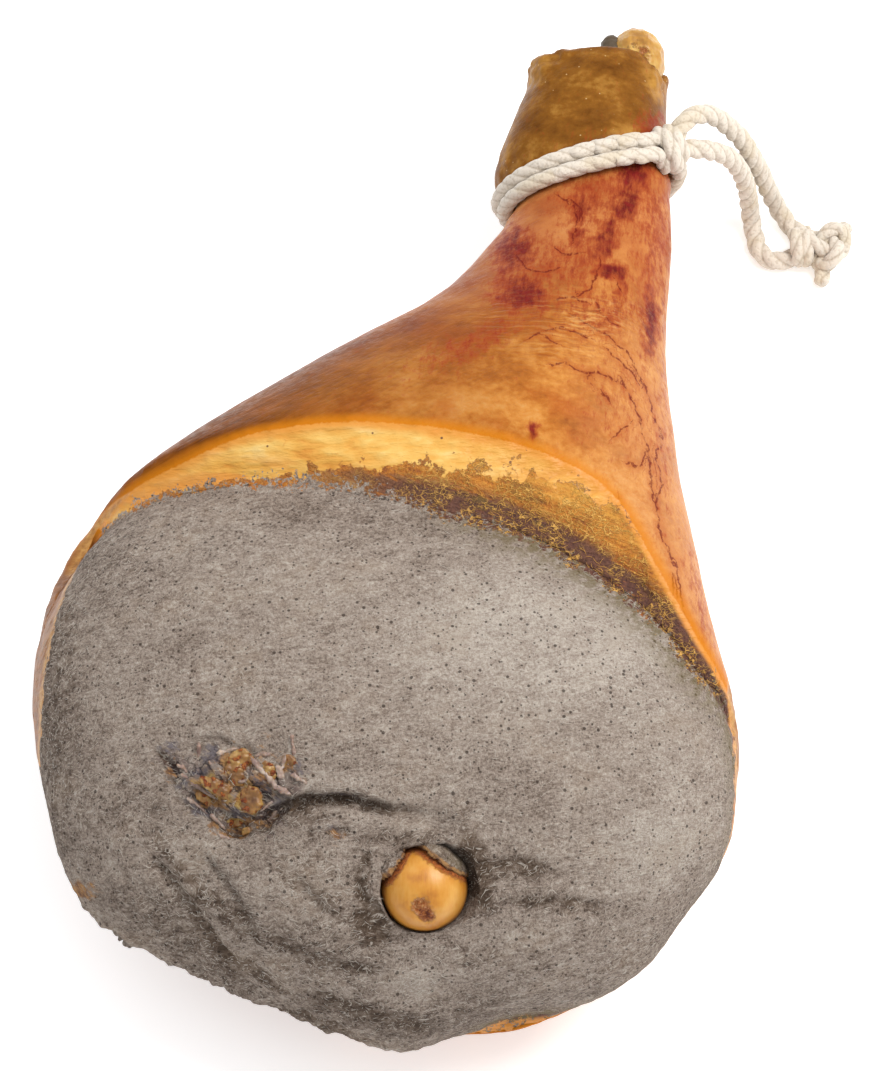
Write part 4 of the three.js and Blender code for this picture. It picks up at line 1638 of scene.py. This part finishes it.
SCARS = ovals((232, 790, 62, 36, 22), (280, 778, 30, 24, 0, 0.7), (180, 770, 30, 22, 30, 0.7))
# The thin cut edge of the rind along the face's two sides: the side to the left of each route is rind.
STRIPS = (
    ((214, 446), (180, 458), (150, 474), (116, 506), (93, 536), (67, 588), (52, 640),
     (43, 700), (39, 760), (40, 810), (50, 850)),
    ((708, 900), (722, 870), (733, 830), (736, 780), (734, 730), (726, 690), (713, 655)),
)


LOW_LEFT = ovals((130, 930, 90, 40, 45), (220, 980, 90, 40, 30), (330, 1025, 80, 30, 15))
SLIVER = ovals((520, 1024, 60, 12, -3))
WRINKLES = ovals((585, 318, 52, 20), (500, 315, 34, 18, 0, 0.45), (560, 345, 60, 22, 0, 0.5))
JOINT_PIT = ovals((644, 50, 11, 9))
# Lumps of gristle in the face's dried patch, and its pale torn edges: an amount is a height in millimetres.
LUMPS = ovals(
    (250, 800, 12, 15, 0, 2.2), (228, 793, 32, 8, 30, 1.3), (237, 771, 12, 17, 0, 1.0),
    (242, 762, 13, 12, 0, 1.0), (270, 771, 7, 11, -20, 0.8), (290, 763, 7, 9, -40, 0.7),
    (231, 823, 15, 5, -12, 0.5), (250, 830, 10, 4, -20, 0.5), (206, 801, 13, 5, 38, 0.5),
    (240, 786, 9, 13, 0, 1.3),
)
EDGES = ovals(
    (258, 766, 12, 2.6, 52, 1.3), (271, 781, 16, 2.6, 48, 1.4), (282, 790, 10, 2.6, 20, 1.2),
    (292, 747, 2.4, 13, -6, 1.2), (285, 762, 2.4, 8, 10, 1.2), (198, 752, 2.0, 12, 4, 0.8),
    (202, 789, 26, 2.2, 36, 0.9), (218, 822, 11, 2.2, 45, 0.9), (274, 815, 24, 2.6, -42, 1.1),
    (246, 781, 8, 2.2, -10, 1.0), (300, 779, 10, 2.6, 30, 0.9), (268, 806, 11, 2.2, -35, 1.0),
    (226, 752, 12, 2.4, -14, 0.9), (214, 770, 12, 2.2, 62, 0.9), (196, 806, 15, 2.2, 40, 0.8),
    (240, 818, 15, 2.2, 24, 0.9), (262, 756, 9, 2.4, -10, 0.9), (282, 772, 4, 9, -20, 0.9),
    (225, 838, 10, 2.4, 30, 0.8), (186, 770, 12, 2.2, 34, 0.8),
)
FIBROUS = ovals(
    (232, 790, 70, 44, 20, 1.6), (200, 880, 90, 50, 40, 0.9), (330, 950, 100, 40, 10, 0.8),
    (300, 890, 60, 40, 0, 0.6), (80, 640, 40, 140, 0, 0.5), (415, 990, 30, 24, 0, 1.2),
    (640, 900, 90, 70, 0, 0.3), (340, 790, 60, 12, 0, 1.0),
)


@dataclass
class Fibres:
    """Short dried fibres that lie over a skin, joined as one piece."""

    name: str
    tint: tuple
    count: int
    length: tuple[float, float]
    radius: float
    seed: int
    joints: int = 5
    sides: int = 3
    flow: float = 10.0  # degrees from straight across
    spread: float = 45.0

    def paths(self, form: Form, weights: Array) -> tuple[Array, Array]:
        """The fibres' middle lines.

        Args:
            form: the skin that they lie on.
            weights: how thick they lie at each of its points.

        Returns:
            The lines' points, and the skin's normal for each line.
        """
        dice = np.random.default_rng(self.seed)
        at = dice.choice(len(weights), self.count, p=weights / weights.sum())
        outward = form.normals[at]
        turn = np.radians(dice.normal(self.flow, self.spread, self.count))[:, None]
        way = np.cos(turn) * np.array(face_point(1, 0, 0)) + np.sin(turn) * np.array(face_point(0, 1, 0))
        way -= outward * (way * outward).sum(axis=1)[:, None]
        way /= np.linalg.norm(way, axis=1)[:, None]
        side = np.cross(outward, way)
        length = dice.uniform(*self.length, self.count)[:, None, None]
        t = np.linspace(-0.5, 0.5, self.joints)[None, :, None]
        start = form.points[at] + dice.uniform(-1, 1, (self.count, 1)) * side
        each = (self.count, 1, 1)
        bend = dice.normal(0, 0.35, each) * t**2 + dice.normal(0, 0.4, each) * t**3
        lift = self.radius + dice.uniform(0.05, 0.3, each) - 1.2 * self.radius * (2 * t) ** 2
        lift = lift + dice.exponential(0.35, each) * np.maximum(t, 0) ** 2 * 3
        lines = start[:, None] + length * (way[:, None] * t + side[:, None] * bend) + outward[:, None] * lift
        return lines, outward

    def strew(self, form: Form, weights: Array) -> None:
        """Adds the fibres where these weights are high.

        Args:
            form: the skin that they lie on.
            weights: how thick they lie at its points.
        """
        lines, outward = self.paths(form, weights)
        forward = np.gradient(lines, axis=1)
        forward /= np.linalg.norm(forward, axis=2)[:, :, None]
        side = np.cross(outward[:, None], forward)
        up = np.cross(forward, side)
        angle = np.linspace(0, 2 * math.pi, self.sides, endpoint=False)[None, None, :, None]
        taper = self.radius * (1 - 0.7 * np.abs(np.linspace(-1, 1, self.joints)) ** 3)[None, :, None, None]
        ring = np.cos(angle) * side[:, :, None] + np.sin(angle) * up[:, :, None]
        rings = lines[:, :, None] + taper * ring
        faces = []
        for fibre in range(self.count):
            base = fibre * self.joints * self.sides
            for i in range(self.joints - 1):
                for j in range(self.sides):
                    a, b = base + i * self.sides + j, base + i * self.sides + (j + 1) % self.sides
                    faces.append((a, b, b + self.sides, a + self.sides))
            faces.append(tuple(base + j for j in range(self.sides))[::-1])
            faces.append(tuple(base + (self.joints - 1) * self.sides + j for j in range(self.sides)))
        piece = new_piece(self.name, rings, faces)
        turn_outward(piece)
        dress(piece, PlainFinish(self.name, self.tint, 0.8).material(), Slot.LEAN)


@dataclass
class Gristle:
    """Lumps of dried gristle that stand out of the face, grown together as one piece."""

    name: str
    lumps: Sequence[Oval]
    dark: tuple
    middle: tuple
    light: tuple
    voxel: float = 0.0004
    scale: float = 2.36  # the photograph's pixels in a millimetre of the face
    uneven: float = 0.9
    crumbled: float = 1.0

    def lump(self, oval: Oval, face: Form) -> Thing:
        """One flat lump with its middle on the face.

        Args:
            oval: its place, size and height.
            face: the face's form.

        Returns:
            The lump.
        """
        hidden = np.where(face.shown > 0.5, 0.0, np.inf)
        middle = face.points[np.argmin(np.hypot(*(face.picture - (oval.x, oval.y)).T) + hidden)]
        bpy.ops.mesh.primitive_uv_sphere_add(segments=24, ring_count=12, radius=MM)
        ball = bpy.context.object
        turned = Matrix([face_point(1, 0, 0), face_point(0, 1, 0), face_point(0, 0, 1)]).transposed().to_4x4()
        turned = turned @ Matrix.Rotation(-math.radians(oval.turn), 4, "Z")
        sizes = Matrix.Diagonal((oval.wide / self.scale, oval.high / self.scale, oval.amount, 1.0))
        ball.matrix_world = Matrix.Translation(placed([middle])[0]) @ turned @ sizes
        select_only(ball)
        bpy.ops.object.transform_apply(location=True, rotation=True, scale=True)
        return ball

    def build(self, face: Form) -> None:
        """Makes the lumps on a face.

        Args:
            face: the face's form.
        """
        piece = remeshed([self.lump(oval, face) for oval in self.lumps], self.name, self.voxel)
        apply_modifier(piece, "SMOOTH", factor=0.5, iterations=3)
        form = Form(piece)
        form.push(self.uneven * form.lumps(3.0, 3) + 0.6 * self.uneven * form.lumps(1.3, 6))
        form.store(brim=-20, deep=1, pit=self.crumbled * np.clip(2 * form.lumps(2.4, 9), 0, 0.7))
        form.write()
        finish = BoneFinish(self.name, self.dark, self.middle, self.light)
        dress(piece, finish.material(), Slot.CARTILAGE)


@dataclass
class HamBody:
    """The leg itself: the rind with its fat, and the lean that shows on the cut face."""

    voxel: float = 0.0026
    overlap: float = 0.0004
    smoothing: int = 30
    socket_kept: tuple = (30, 46)  # how far from the ball's middle the smoothing sets in
    hock_kept: tuple = (205, 225)  # where along the leg most of it ends
    line_rounds: int = 14
    seam_rounds: int = 6
    seam_reach: float = 4.0
    groove: float = 1.0  # the rope's groove, and the swelling on both sides of it
    groove_wide: float = 7.0
    swell: float = 1.3
    swell_at: float = 14.0
    swell_wide: float = 5.0
    bowl_rings: int = 9
    bowl_inset: float = 2.5
    gap: float = 0.2  # between the ball and the socket's rim, where it is drawn up to it
    open_gap: float = 4.6
    edge_shift: float = 7.0  # how much lower the rind's colour ends on the left
    gap_angle: float = 14.0
    socket_size: tuple[float, float] = (26.5, 21.5)  # half its width and height on the face

    def whole(self) -> Thing:
        """One even skin over the rind and the lean, with the solids' facets smoothed away.

        Returns:
            The skin, as a new object.
        """
        nodes = ("rind_and_fat", "lean_meat", "loose_cartilage")
        body = remeshed([merged_copy(node, self.overlap) for node in nodes], "ham_body", self.voxel)
        form = Form(body)
        socket = np.linalg.norm(form.points - np.array(face_point(*HEAD_PLACE)), axis=1)
        free = step_between(*self.socket_kept, socket)
        hock = step_between(*self.hock_kept, form.points[:, 1])
        form.weigh("soft", 0.15 + 0.85 * free * (1 - 0.75 * hock))
        apply_modifier(body, "SMOOTH", factor=0.5, iterations=self.smoothing, vertex_group="soft")
        return body

    def seam(self, form: Form) -> Array:
        """How far each point lies from the seam between rind and lean, positive on the lean.

        Args:
            form: the skin's form.

        Returns:
            The distances, in millimetres.
        """
        rind, lean = surface_of("rind_and_fat"), surface_of("lean_meat")
        spots = [Vector(p) for p in placed(form.points).tolist()]
        to_rind = np.array([rind.find_nearest(p)[3] for p in spots])
        to_lean = np.array([lean.find_nearest(p)[3] for p in spots])
        return form.relaxed((to_rind - to_lean) / MM, 8)

    def knife_edge(self, form: Form) -> Array:
        """How far each point lies from the knife's cut across the fat, negative on the cut.

        Args:
            form: the skin's form.

        Returns:
            The distances, in millimetres.
        """
        plan = beside_path(form.points[:, :2], smooth_curve(RIND_EDGE))[0]
        plan += self.edge_shift * step_between(-60, -110, form.points[:, 0])
        lip = np.interp(form.points[:, 1], *zip(*RIND_LIP))
        return np.maximum(plan, lip - form.points[:, 2])

    def refine(self, body: Thing, chosen: Array) -> None:
        """Divides the faces whose points are all chosen.

        Args:
            body: the skin.
            chosen: which points are chosen.
        """
        with editing(body) as mesh:
            bpy.ops.mesh.select_mode(type="FACE")
            for face in mesh.faces:
                face.select = all(chosen[v.index] for v in face.verts)
            bpy.ops.mesh.subdivide(number_cuts=1)

    def even_seam(self, body: Thing) -> None:
        """Straightens the line of edges where the lean's faces meet the rind's.

        Args:
            body: the skin.
        """
        form = Form(body)
        seam = self.stored(body, "seam")
        on_lean = seam > 0
        mesh = bmesh.new()
        mesh.from_mesh(body.data)
        mesh.verts.ensure_lookup_table()
        lean = [sum(on_lean[v.index] for v in f.verts) > len(f.verts) / 2 for f in mesh.faces]
        links: dict[int, list[int]] = {}
        for edge in mesh.edges:
            sides = [lean[f.index] for f in edge.link_faces]
            if len(sides) == 2 and sides[0] != sides[1]:
                a, b = (v.index for v in edge.verts)
                links.setdefault(a, []).append(b)
                links.setdefault(b, []).append(a)
        line = [v for v, others in links.items() if len(others) == 2]
        for _ in range(self.line_rounds):
            middles = [(form.points[links[v][0]] + form.points[links[v][1]]) / 2 for v in line]
            form.points[line] = 0.4 * form.points[line] + 0.6 * np.array(middles)
        held = form.points[line].copy()
        share = bell(seam, self.seam_reach)[:, None]
        for _ in range(self.seam_rounds):
            eased = np.stack([form.relaxed(form.points[:, k], 1) for k in range(3)], axis=1)
            form.points += (eased - form.points) * share
            form.points[line] = held
        mesh.free()
        form.write()
        self.on_lean = on_lean

    def stored(self, body: Thing, name: str) -> Array:
        """A value that a mesh keeps for each point."""
        values = np.empty(len(body.data.vertices), np.float32)
        body.data.attributes[name].data.foreach_get("value", values)
        return values.astype(float)

    def carve(self, body: Thing) -> None:
        """Gives the skin its uneven relief, its furrows and its dents, and keeps its painted shade and
        painted light.

        Args:
            body: the skin.
        """
        form = Form(body)
        seam, edge = self.stored(body, "seam"), self.stored(body, "edge")
        lean = step_between(-1, 4, seam)
        fat = step_between(0.5, -2, edge) * (1 - lean)
        skin = step_between(-2, 1, edge) * (1 - lean)
        felt = 0.9 * form.lumps(34, 1) + 0.5 * form.lumps(11, 2) + 0.3 * form.lumps(4, 3)
        depth = lean * felt + fat * (0.5 * form.lumps(10, 6) + 0.3 * form.lumps(3.6, 7))
        depth += skin * (0.5 * form.lumps(45, 4) + 0.16 * form.lumps(13, 5))
        # Painted shade and painted light on the face: shaded ovals darken it, lit ovals brighten it, and each
        # furrow's hollow gets painted shade.
        tone = -0.9 * form.spots(SHADES) + form.spots(LIGHTS)
        for furrow in FURROWS:
            away, fade = form.furrow(furrow.route, 1.5)
            hollow = fade * bell(np.maximum(away, -away * furrow.steep), furrow.wide)
            brow = fade * bell(away + furrow.wide * furrow.brow_at, furrow.wide)
            depth += furrow.brow * brow - furrow.depth * hollow
            tone -= furrow.shade * hollow
        depth -= form.spots(DENTS)
        ridges = 1 - 2.4 * np.abs(form.lumps(7.5, 8)) + 0.6 * (1 - 2.4 * np.abs(form.lumps(3.4, 9)))
        depth += form.spots(SCARS) * lean * 1.5 * ridges
        low_left = form.spots(LOW_LEFT)
        torn = 2.6 * form.lumps(7, 10) + 1.2 * form.lumps(3, 12)
        depth += low_left * (torn + 2.2 * lean - 2.6 * (1 - lean))
        depth += form.marks(BULGES)
        sliver = form.spots(SLIVER)
        depth += sliver * (2.5 * (1 - lean) - 3.5 * lean)
        strip, below = np.zeros(len(form.points)), np.full(len(form.points), np.inf)
        for route in STRIPS:
            below = np.minimum(below, form.reach_from(route))
            away, fade = form.furrow(route, 1.5)
            inner = step_between(-3, 0, away - 12 * (1 - fade)) * np.isfinite(away)
            strip = np.maximum(strip, inner * step_between(-2 - 10 * fade, -1 - 6 * fade, seam))
        form.store(strip=strip, below=below, tone=np.clip(tone, -1.6, 1.4))
        form.store_stains()
        self.mark_rind(form)
        band = self.beyond_band(form)
        swelling = self.swell * bell(np.abs(band) - self.swell_at, self.swell_wide)
        depth += skin * (swelling - self.groove * bell(band, self.groove_wide))
        form.push(depth)
        form.write()

    def close_socket(self, body: Thing) -> None:
        """Draws the socket's rim up to the ball, but for the gap that stays open at its upper right.

        Args:
            body: the skin.
        """
        form = Form(body)
        middle = np.array(face_point(*HEAD_PLACE))
        sideways, upward, outward = (np.array(face_point(*way)) for way in ((1, 0, 0), (0, 1, 0), (0, 0, 1)))
        away = form.points - middle
        across, along, out = away @ sideways, away @ upward, away @ outward
        reach, angle = np.hypot(across, along), np.degrees(np.arctan2(along, across))
        closed = 1 - step_between(70, 40, np.abs(angle - self.gap_angle))
        wanted = HEAD_RADIUS + self.gap + self.open_gap * (1 - closed)
        wide, high = self.socket_size
        lip = wide * high / np.hypot(high * across, wide * along).clip(1e-6) * reach
        pull = np.maximum(lip - wanted, 0) * step_between(lip + 16, lip, reach) * step_between(-9, -5, out)
        pull = np.minimum(pull, np.maximum(reach - wanted, 0))
        share = (pull / reach.clip(1e-6))[:, None]
        form.points -= share * (across[:, None] * sideways + along[:, None] * upward)
        form.write()

    def beyond_band(self, form: Form) -> Array:
        """How far each point lies beyond the rope's band, to the hock."""
        plane = BAND_PLANE
        x, y, z = form.points.T
        return y - plane["y0"] - plane["by_x"] * (x - plane["x0"]) - plane["by_z"] * (z - plane["z0"])

    def mark_rind(self, form: Form) -> None:
        """Keeps where the rind is bruised, veined, wrinkled, browner with painted shade on its left side, and
        beyond the rope.

        Args:
            form: the skin's form.
        """
        nearest = np.full(len(form.points), np.inf)
        for route in VEINS:
            away, _ = form.furrow(route, 1.2)
            nearest = np.where(np.abs(away) < np.abs(nearest), away, nearest)
        away = np.clip(nearest / 2.3, -8, 8)
        form.store(bruise=form.spots(BRUISES), wrinkle=form.spots(WRINKLES))
        form.store(vein=away, veined=step_between(5, 2, np.abs(away)))
        # The rind's left side, turned away from the key light, gets the flank's own brown with painted shade.
        left = step_between(-0.3, 0.45, -form.normals[:, 0]) * step_between(170, 60, form.points[:, 1])
        form.store(flank=left, hock=self.beyond_band(form))

    def build(self) -> None:
        """Makes the two pieces."""
        body = self.whole()
        form = Form(body)
        seam = self.seam(form)
        form.store(seam=seam, edge=self.knife_edge(form))
        self.refine(body, (seam > -1) & (form.facing > -0.3) | (form.shown > 0) & (form.points[:, 1] > -60))
        self.even_seam(body)
        self.close_socket(body)
        self.carve(body)
        with editing(body) as mesh:
            bpy.ops.mesh.select_mode(type="FACE")
            for face in mesh.faces:
                face.select = sum(self.on_lean[v.index] for v in face.verts) > len(face.verts) / 2
            bpy.ops.mesh.separate(type="SELECTED")
        lean = next(o for o in bpy.context.selected_objects if o is not body)
        body.name, lean.name = "rind_skin", "lean_face"
        surface = surface_of("lean_meat")
        for piece, inset in ((body, self.bowl_inset), (lean, self.bowl_inset + 0.5)):
            self.close_with_bowl(piece, surface, inset)
            select_only(piece)
            bpy.ops.object.shade_smooth_by_angle(angle=math.radians(60))
        body.data.materials.append(FleshFinish("cured_rind", Shows.RIND).material())
        lean.data.materials.append(FleshFinish("dried_lean", Shows.CUT).material())
        hand_over(body, Slot.RIND, "rind_and_fat")
        hand_over(lean, Slot.LEAN, "lean_meat")
        self.fibres(Form(lean), Form(body))

    def fibres(self, face: Form, rind: Form) -> None:
        """Strews dried fibres over the face and pale lace over the crust.

        Args:
            face: the lean's form.
            rind: the rind's form.
        """
        Gristle("amber_gristle", LUMPS, (92, 58, 38), (154, 108, 54), (204, 168, 100)).build(face)
        torn_colours = (106, 78, 74), (164, 138, 124), (214, 194, 176)
        Gristle("torn_gristle", EDGES, *torn_colours, crumbled=0.3).build(face)
        seam = self.stored(face.piece, "seam")
        near = 0.12 + face.spots(FIBROUS) + 0.8 * bell(seam - 2, 3) * (face.along > -60)
        near *= (face.facing > 0.35) * (seam > 0.5)
        Fibres("face_fibres", seen(222, 211, 198), 2200, (1.2, 4.2), 0.1, seed=5).strew(face, near)
        seam, edge = self.stored(rind.piece, "seam"), self.stored(rind.piece, "edge")
        crust = step_between(-24, -16, seam) * (edge < -3) * (rind.facing > 0.2) * (rind.along > -20)
        weights = crust * (0.02 + step_between(30, 75, rind.across))
        lace = Fibres("crust_lace", seen(255, 190, 90), 380, (1.8, 5.0), 0.085, seed=9, flow=-24.0)
        lace.strew(rind, weights)

    def close_with_bowl(self, piece: Thing, surface: BVHTree, inset: float) -> None:
        """Closes a piece's open side along the lean's hidden underside.

        Args:
            piece: the rind's or the lean's open skin.
            surface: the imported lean's surface.
            inset: how far inside that surface the bowl lies, in millimetres.
        """
        out = Vector((0, -math.sin(FACE_TILT), math.cos(FACE_TILT)))
        with editing(piece) as mesh:
            bpy.ops.mesh.select_mode(type="EDGE")
            bpy.ops.mesh.select_non_manifold(
                extend=False, use_wire=False, use_multi_face=False, use_non_contiguous=False, use_verts=False,
            )
            rim = [v.co.copy() for v in mesh.verts if v.select]
            centre = sum(rim, Vector()) / len(rim)
            for ring in range(self.bowl_rings):
                bpy.ops.mesh.extrude_edges_move()
                mesh = bmesh.from_edit_mesh(piece.data)
                for vertex in [v for v in mesh.verts if v.select]:
                    ray = vertex.co - centre
                    height = ray.dot(out)
                    level = (ray - out * height).normalized()
                    dip = math.atan2(-height, (ray - out * height).length)
                    dip += (math.pi / 2 - dip) / (self.bowl_rings + 1 - ring)
                    way = level * math.cos(dip) - out * math.sin(dip)
                    hit, _, _, distance = surface.ray_cast(centre, way)
                    if hit is not None:
                        vertex.co = centre + way * max(0.0, distance - inset * MM)
                bmesh.update_edit_mesh(piece.data)
            bpy.ops.mesh.merge(type="CENTER")


@dataclass
class FemurHead:
    """The femur's ball in its socket, its worn pit and the hood of membrane that covers its top."""

    segments: int = 144
    rings: int = 96
    neck_drop: float = 20.0
    pits: tuple = ((-1.4, -6.0, 4.0), (1.0, -9.8, 3.8))  # across, along and radius, the second one darker
    pit_depth: float = 1.6
    membrane: float = 0.0012
    hood_drop: float = -0.35  # how far below the ball's middle the membrane starts, in its radii
    hood_edge: tuple = (
        (-22, 3.0), (-18.9, 3.2), (-15.9, 3.6), (-13.4, 5.3), (-10.4, 9.1), (-7.9, 13.3), (-5.3, 18.0),
        (-2.4, 17.2), (1.9, 14.2), (6.9, 10.8), (11.2, 8.3), (15.4, 6.1), (18.4, 4.4), (23, 3.0),
    )

    def sphere(self, name: str) -> Thing:
        """A smooth ball in the femur head's place, with its pole out of the cut face.

        Args:
            name: what it is called.

        Returns:
            The ball.
        """
        bpy.ops.mesh.primitive_uv_sphere_add(
            segments=self.segments, ring_count=self.rings, radius=HEAD_RADIUS * MM,
            location=placed(face_point(*HEAD_PLACE)), rotation=(FACE_TILT, 0, 0),
        )
        ball = bpy.context.object
        ball.name = name
        bpy.ops.object.transform_apply(location=True, rotation=True, scale=True)
        bpy.ops.object.shade_smooth()
        return ball

    def local(self, form: Form) -> Array:
        """The form's points from the ball's middle: across, along and out of the cut face.

        Args:
            form: the skin's form.

        Returns:
            The points, in millimetres.
        """
        away = form.points - np.array(face_point(*HEAD_PLACE))
        c, s = math.cos(FACE_TILT), math.sin(FACE_TILT)
        x, y, z = away.T
        return np.stack([x, y * c + z * s, z * c - y * s], axis=1)

    def brim(self, across: Array, along: Array) -> Array:
        """How far up the face points lie from the hood's edge."""
        return along - np.interp(across, *zip(*self.hood_edge))

    def ball(self) -> None:
        """Adds the ball on its neck."""
        ball = self.sphere("femur_ball")
        form = Form(ball)
        across, along, out = self.local(form).T
        shake = 1.2 * form.lumps(3.0, 14)
        marks = [
            np.exp(-(((across + shake - x) / radius) ** 2 + ((along - shake - y) / radius) ** 2))
            for x, y, radius in self.pits
        ]
        pit = np.maximum(*marks) * step_between(0, 4, out)
        # The rim holds the ball's painted shade towards its outline.
        form.store(
            pit=pit, deep=marks[1] * step_between(0, 4, out),
            brim=np.where(out > -2, self.brim(across, along), -20),
            rim=step_between(0.65, 0.98, np.hypot(across, along) / HEAD_RADIUS),
        )
        form.push(-self.pit_depth * pit * (1 + 0.8 * form.lumps(1.6, 3)) + 0.15 * form.lumps(9, 4))
        drop = step_between(-0.72, -0.8, out / HEAD_RADIUS)[:, None] * self.neck_drop
        form.points -= drop * np.array(face_point(0, 0, 1))
        form.write()
        ball.data.materials.append(BoneFinish().material())
        hand_over(ball, Slot.BONE, "femur_head")

    def hood(self) -> None:
        """Adds the membrane over the ball's top."""
        hood = self.sphere("femur_hood")
        form = Form(hood)
        across, along, out = self.local(form).T
        waver = 0.8 * form.lumps(2.4, 8) + 0.5 * form.lumps(6, 9)
        keep = (self.brim(across, along) + waver * 0.6 > 0) & (out > self.hood_drop * HEAD_RADIUS)
        thick = 1.4 + 3.6 * step_between(-7, -16, across) + 0.9 * form.lumps(4, 6)
        thick += 2.2 * step_between(7, 16, along) * step_between(12, 5, across)
        form.push(thick * step_between(-1.5, 2.5, self.brim(across, along)) + 0.35)
        form.write()
        # Painted shade over the whole hood, and a red-brown rust along its brim.
        form.store(tone=-0.35, rust=1.1 * step_between(2.2, 0.5, self.brim(across, along)))
        with editing(hood) as mesh:
            bpy.ops.mesh.select_mode(type="VERT")
            for vertex in mesh.verts:
                vertex.select = not keep[vertex.index]
            bpy.ops.mesh.delete(type="VERT")
        apply_modifier(hood, "SOLIDIFY", thickness=self.membrane, offset=-1.0)
        hood.data.materials.append(FleshFinish("dried_membrane", Shows.LEAN).material())
        hand_over(hood, Slot.LEAN)

    def build(self) -> None:
        """Makes the femur's visible end."""
        self.ball()
        self.hood()


@dataclass
class SmallParts:
    """The loose cartilage in the face, and the joint bone and tendon at the hock."""

    voxel: float = 0.0009

    def knobbly(self, node: str, name: str, lump: float, size: float) -> Form:
        """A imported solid's copy, smoothed and made uneven.

        Args:
            node: the solid's name.
            name: the new piece's name.
            lump: how high the unevenness is, in millimetres.
            size: how wide its lumps are.

        Returns:
            The new piece's form, not yet written.
        """
        piece = remeshed([merged_copy(node)], name, self.voxel)
        apply_modifier(piece, "SMOOTH", factor=0.5, iterations=10)
        form = Form(piece)
        form.push(lump * form.lumps(size, 2) + 0.5 * lump * form.lumps(size / 2.5, 5))
        return form

    def cartilage(self) -> None:
        """Adds the loose cartilage."""
        form = self.knobbly("loose_cartilage", "cartilage_flaps", 0.9, 4.0)
        form.store_stains()
        finish = FleshFinish("dried_cartilage", Shows.LEAN)
        self.hand(form, Slot.CARTILAGE, "loose_cartilage", finish.material())

    def joint(self) -> None:
        """Adds the bone at the hock."""
        form = self.knobbly("hock_joint_bone", "hock_knob", 0.6, 6.0)
        pit = form.spots(JOINT_PIT, 5.0, 4.0)
        form.store(pit=0.62 * pit, brim=-20, deep=0.5 * pit)
        form.points += (-1.8, 0, 0)
        left, up = np.maximum(-form.normals[:, 0], 0), np.maximum(form.normals[:, 1], 0)
        form.push(2.5 * left + 1.5 * up - 1.8 * pit * (0.6 + form.lumps(1.8, 11)))
        finish = BoneFinish("joint_bone", (150, 98, 34), (200, 146, 62), (226, 184, 104))
        self.hand(form, Slot.BONE, "hock_joint_bone", finish.material())

    def tendon(self) -> None:
        """Adds the tendon beside it."""
        form = self.knobbly("hock_tendon", "hock_sinew", 0.5, 3.0)
        form.points += (0.4, 3.8, 2.4)
        finish = PlainFinish("dried_sinew", seen(84, 66, 42), 0.5)
        self.hand(form, Slot.TENDON, "hock_tendon", finish.material())

    def hand(self, form: Form, slot: Slot, node: str, material: Material) -> None:
        """Writes a form back, dresses its piece and hands it over."""
        form.write()
        dress(form.piece, material, slot, node)

    def build(self) -> None:
        """Makes the small parts."""
        self.cartilage()
        self.joint()
        self.tendon()


def main() -> None:
    """Builds the studio and the ham's pieces in order."""
    bpy.ops.object.select_all(action="DESELECT")
    for assembly in (Studio(), HangingRope(), HamBody(), FemurHead(), SmallParts()):
        assembly.build()
        LOG.info("%s is done", type(assembly).__name__)


if __name__ == "__main__":
    logging.basicConfig(level=logging.INFO, format="%(message)s")
    main()
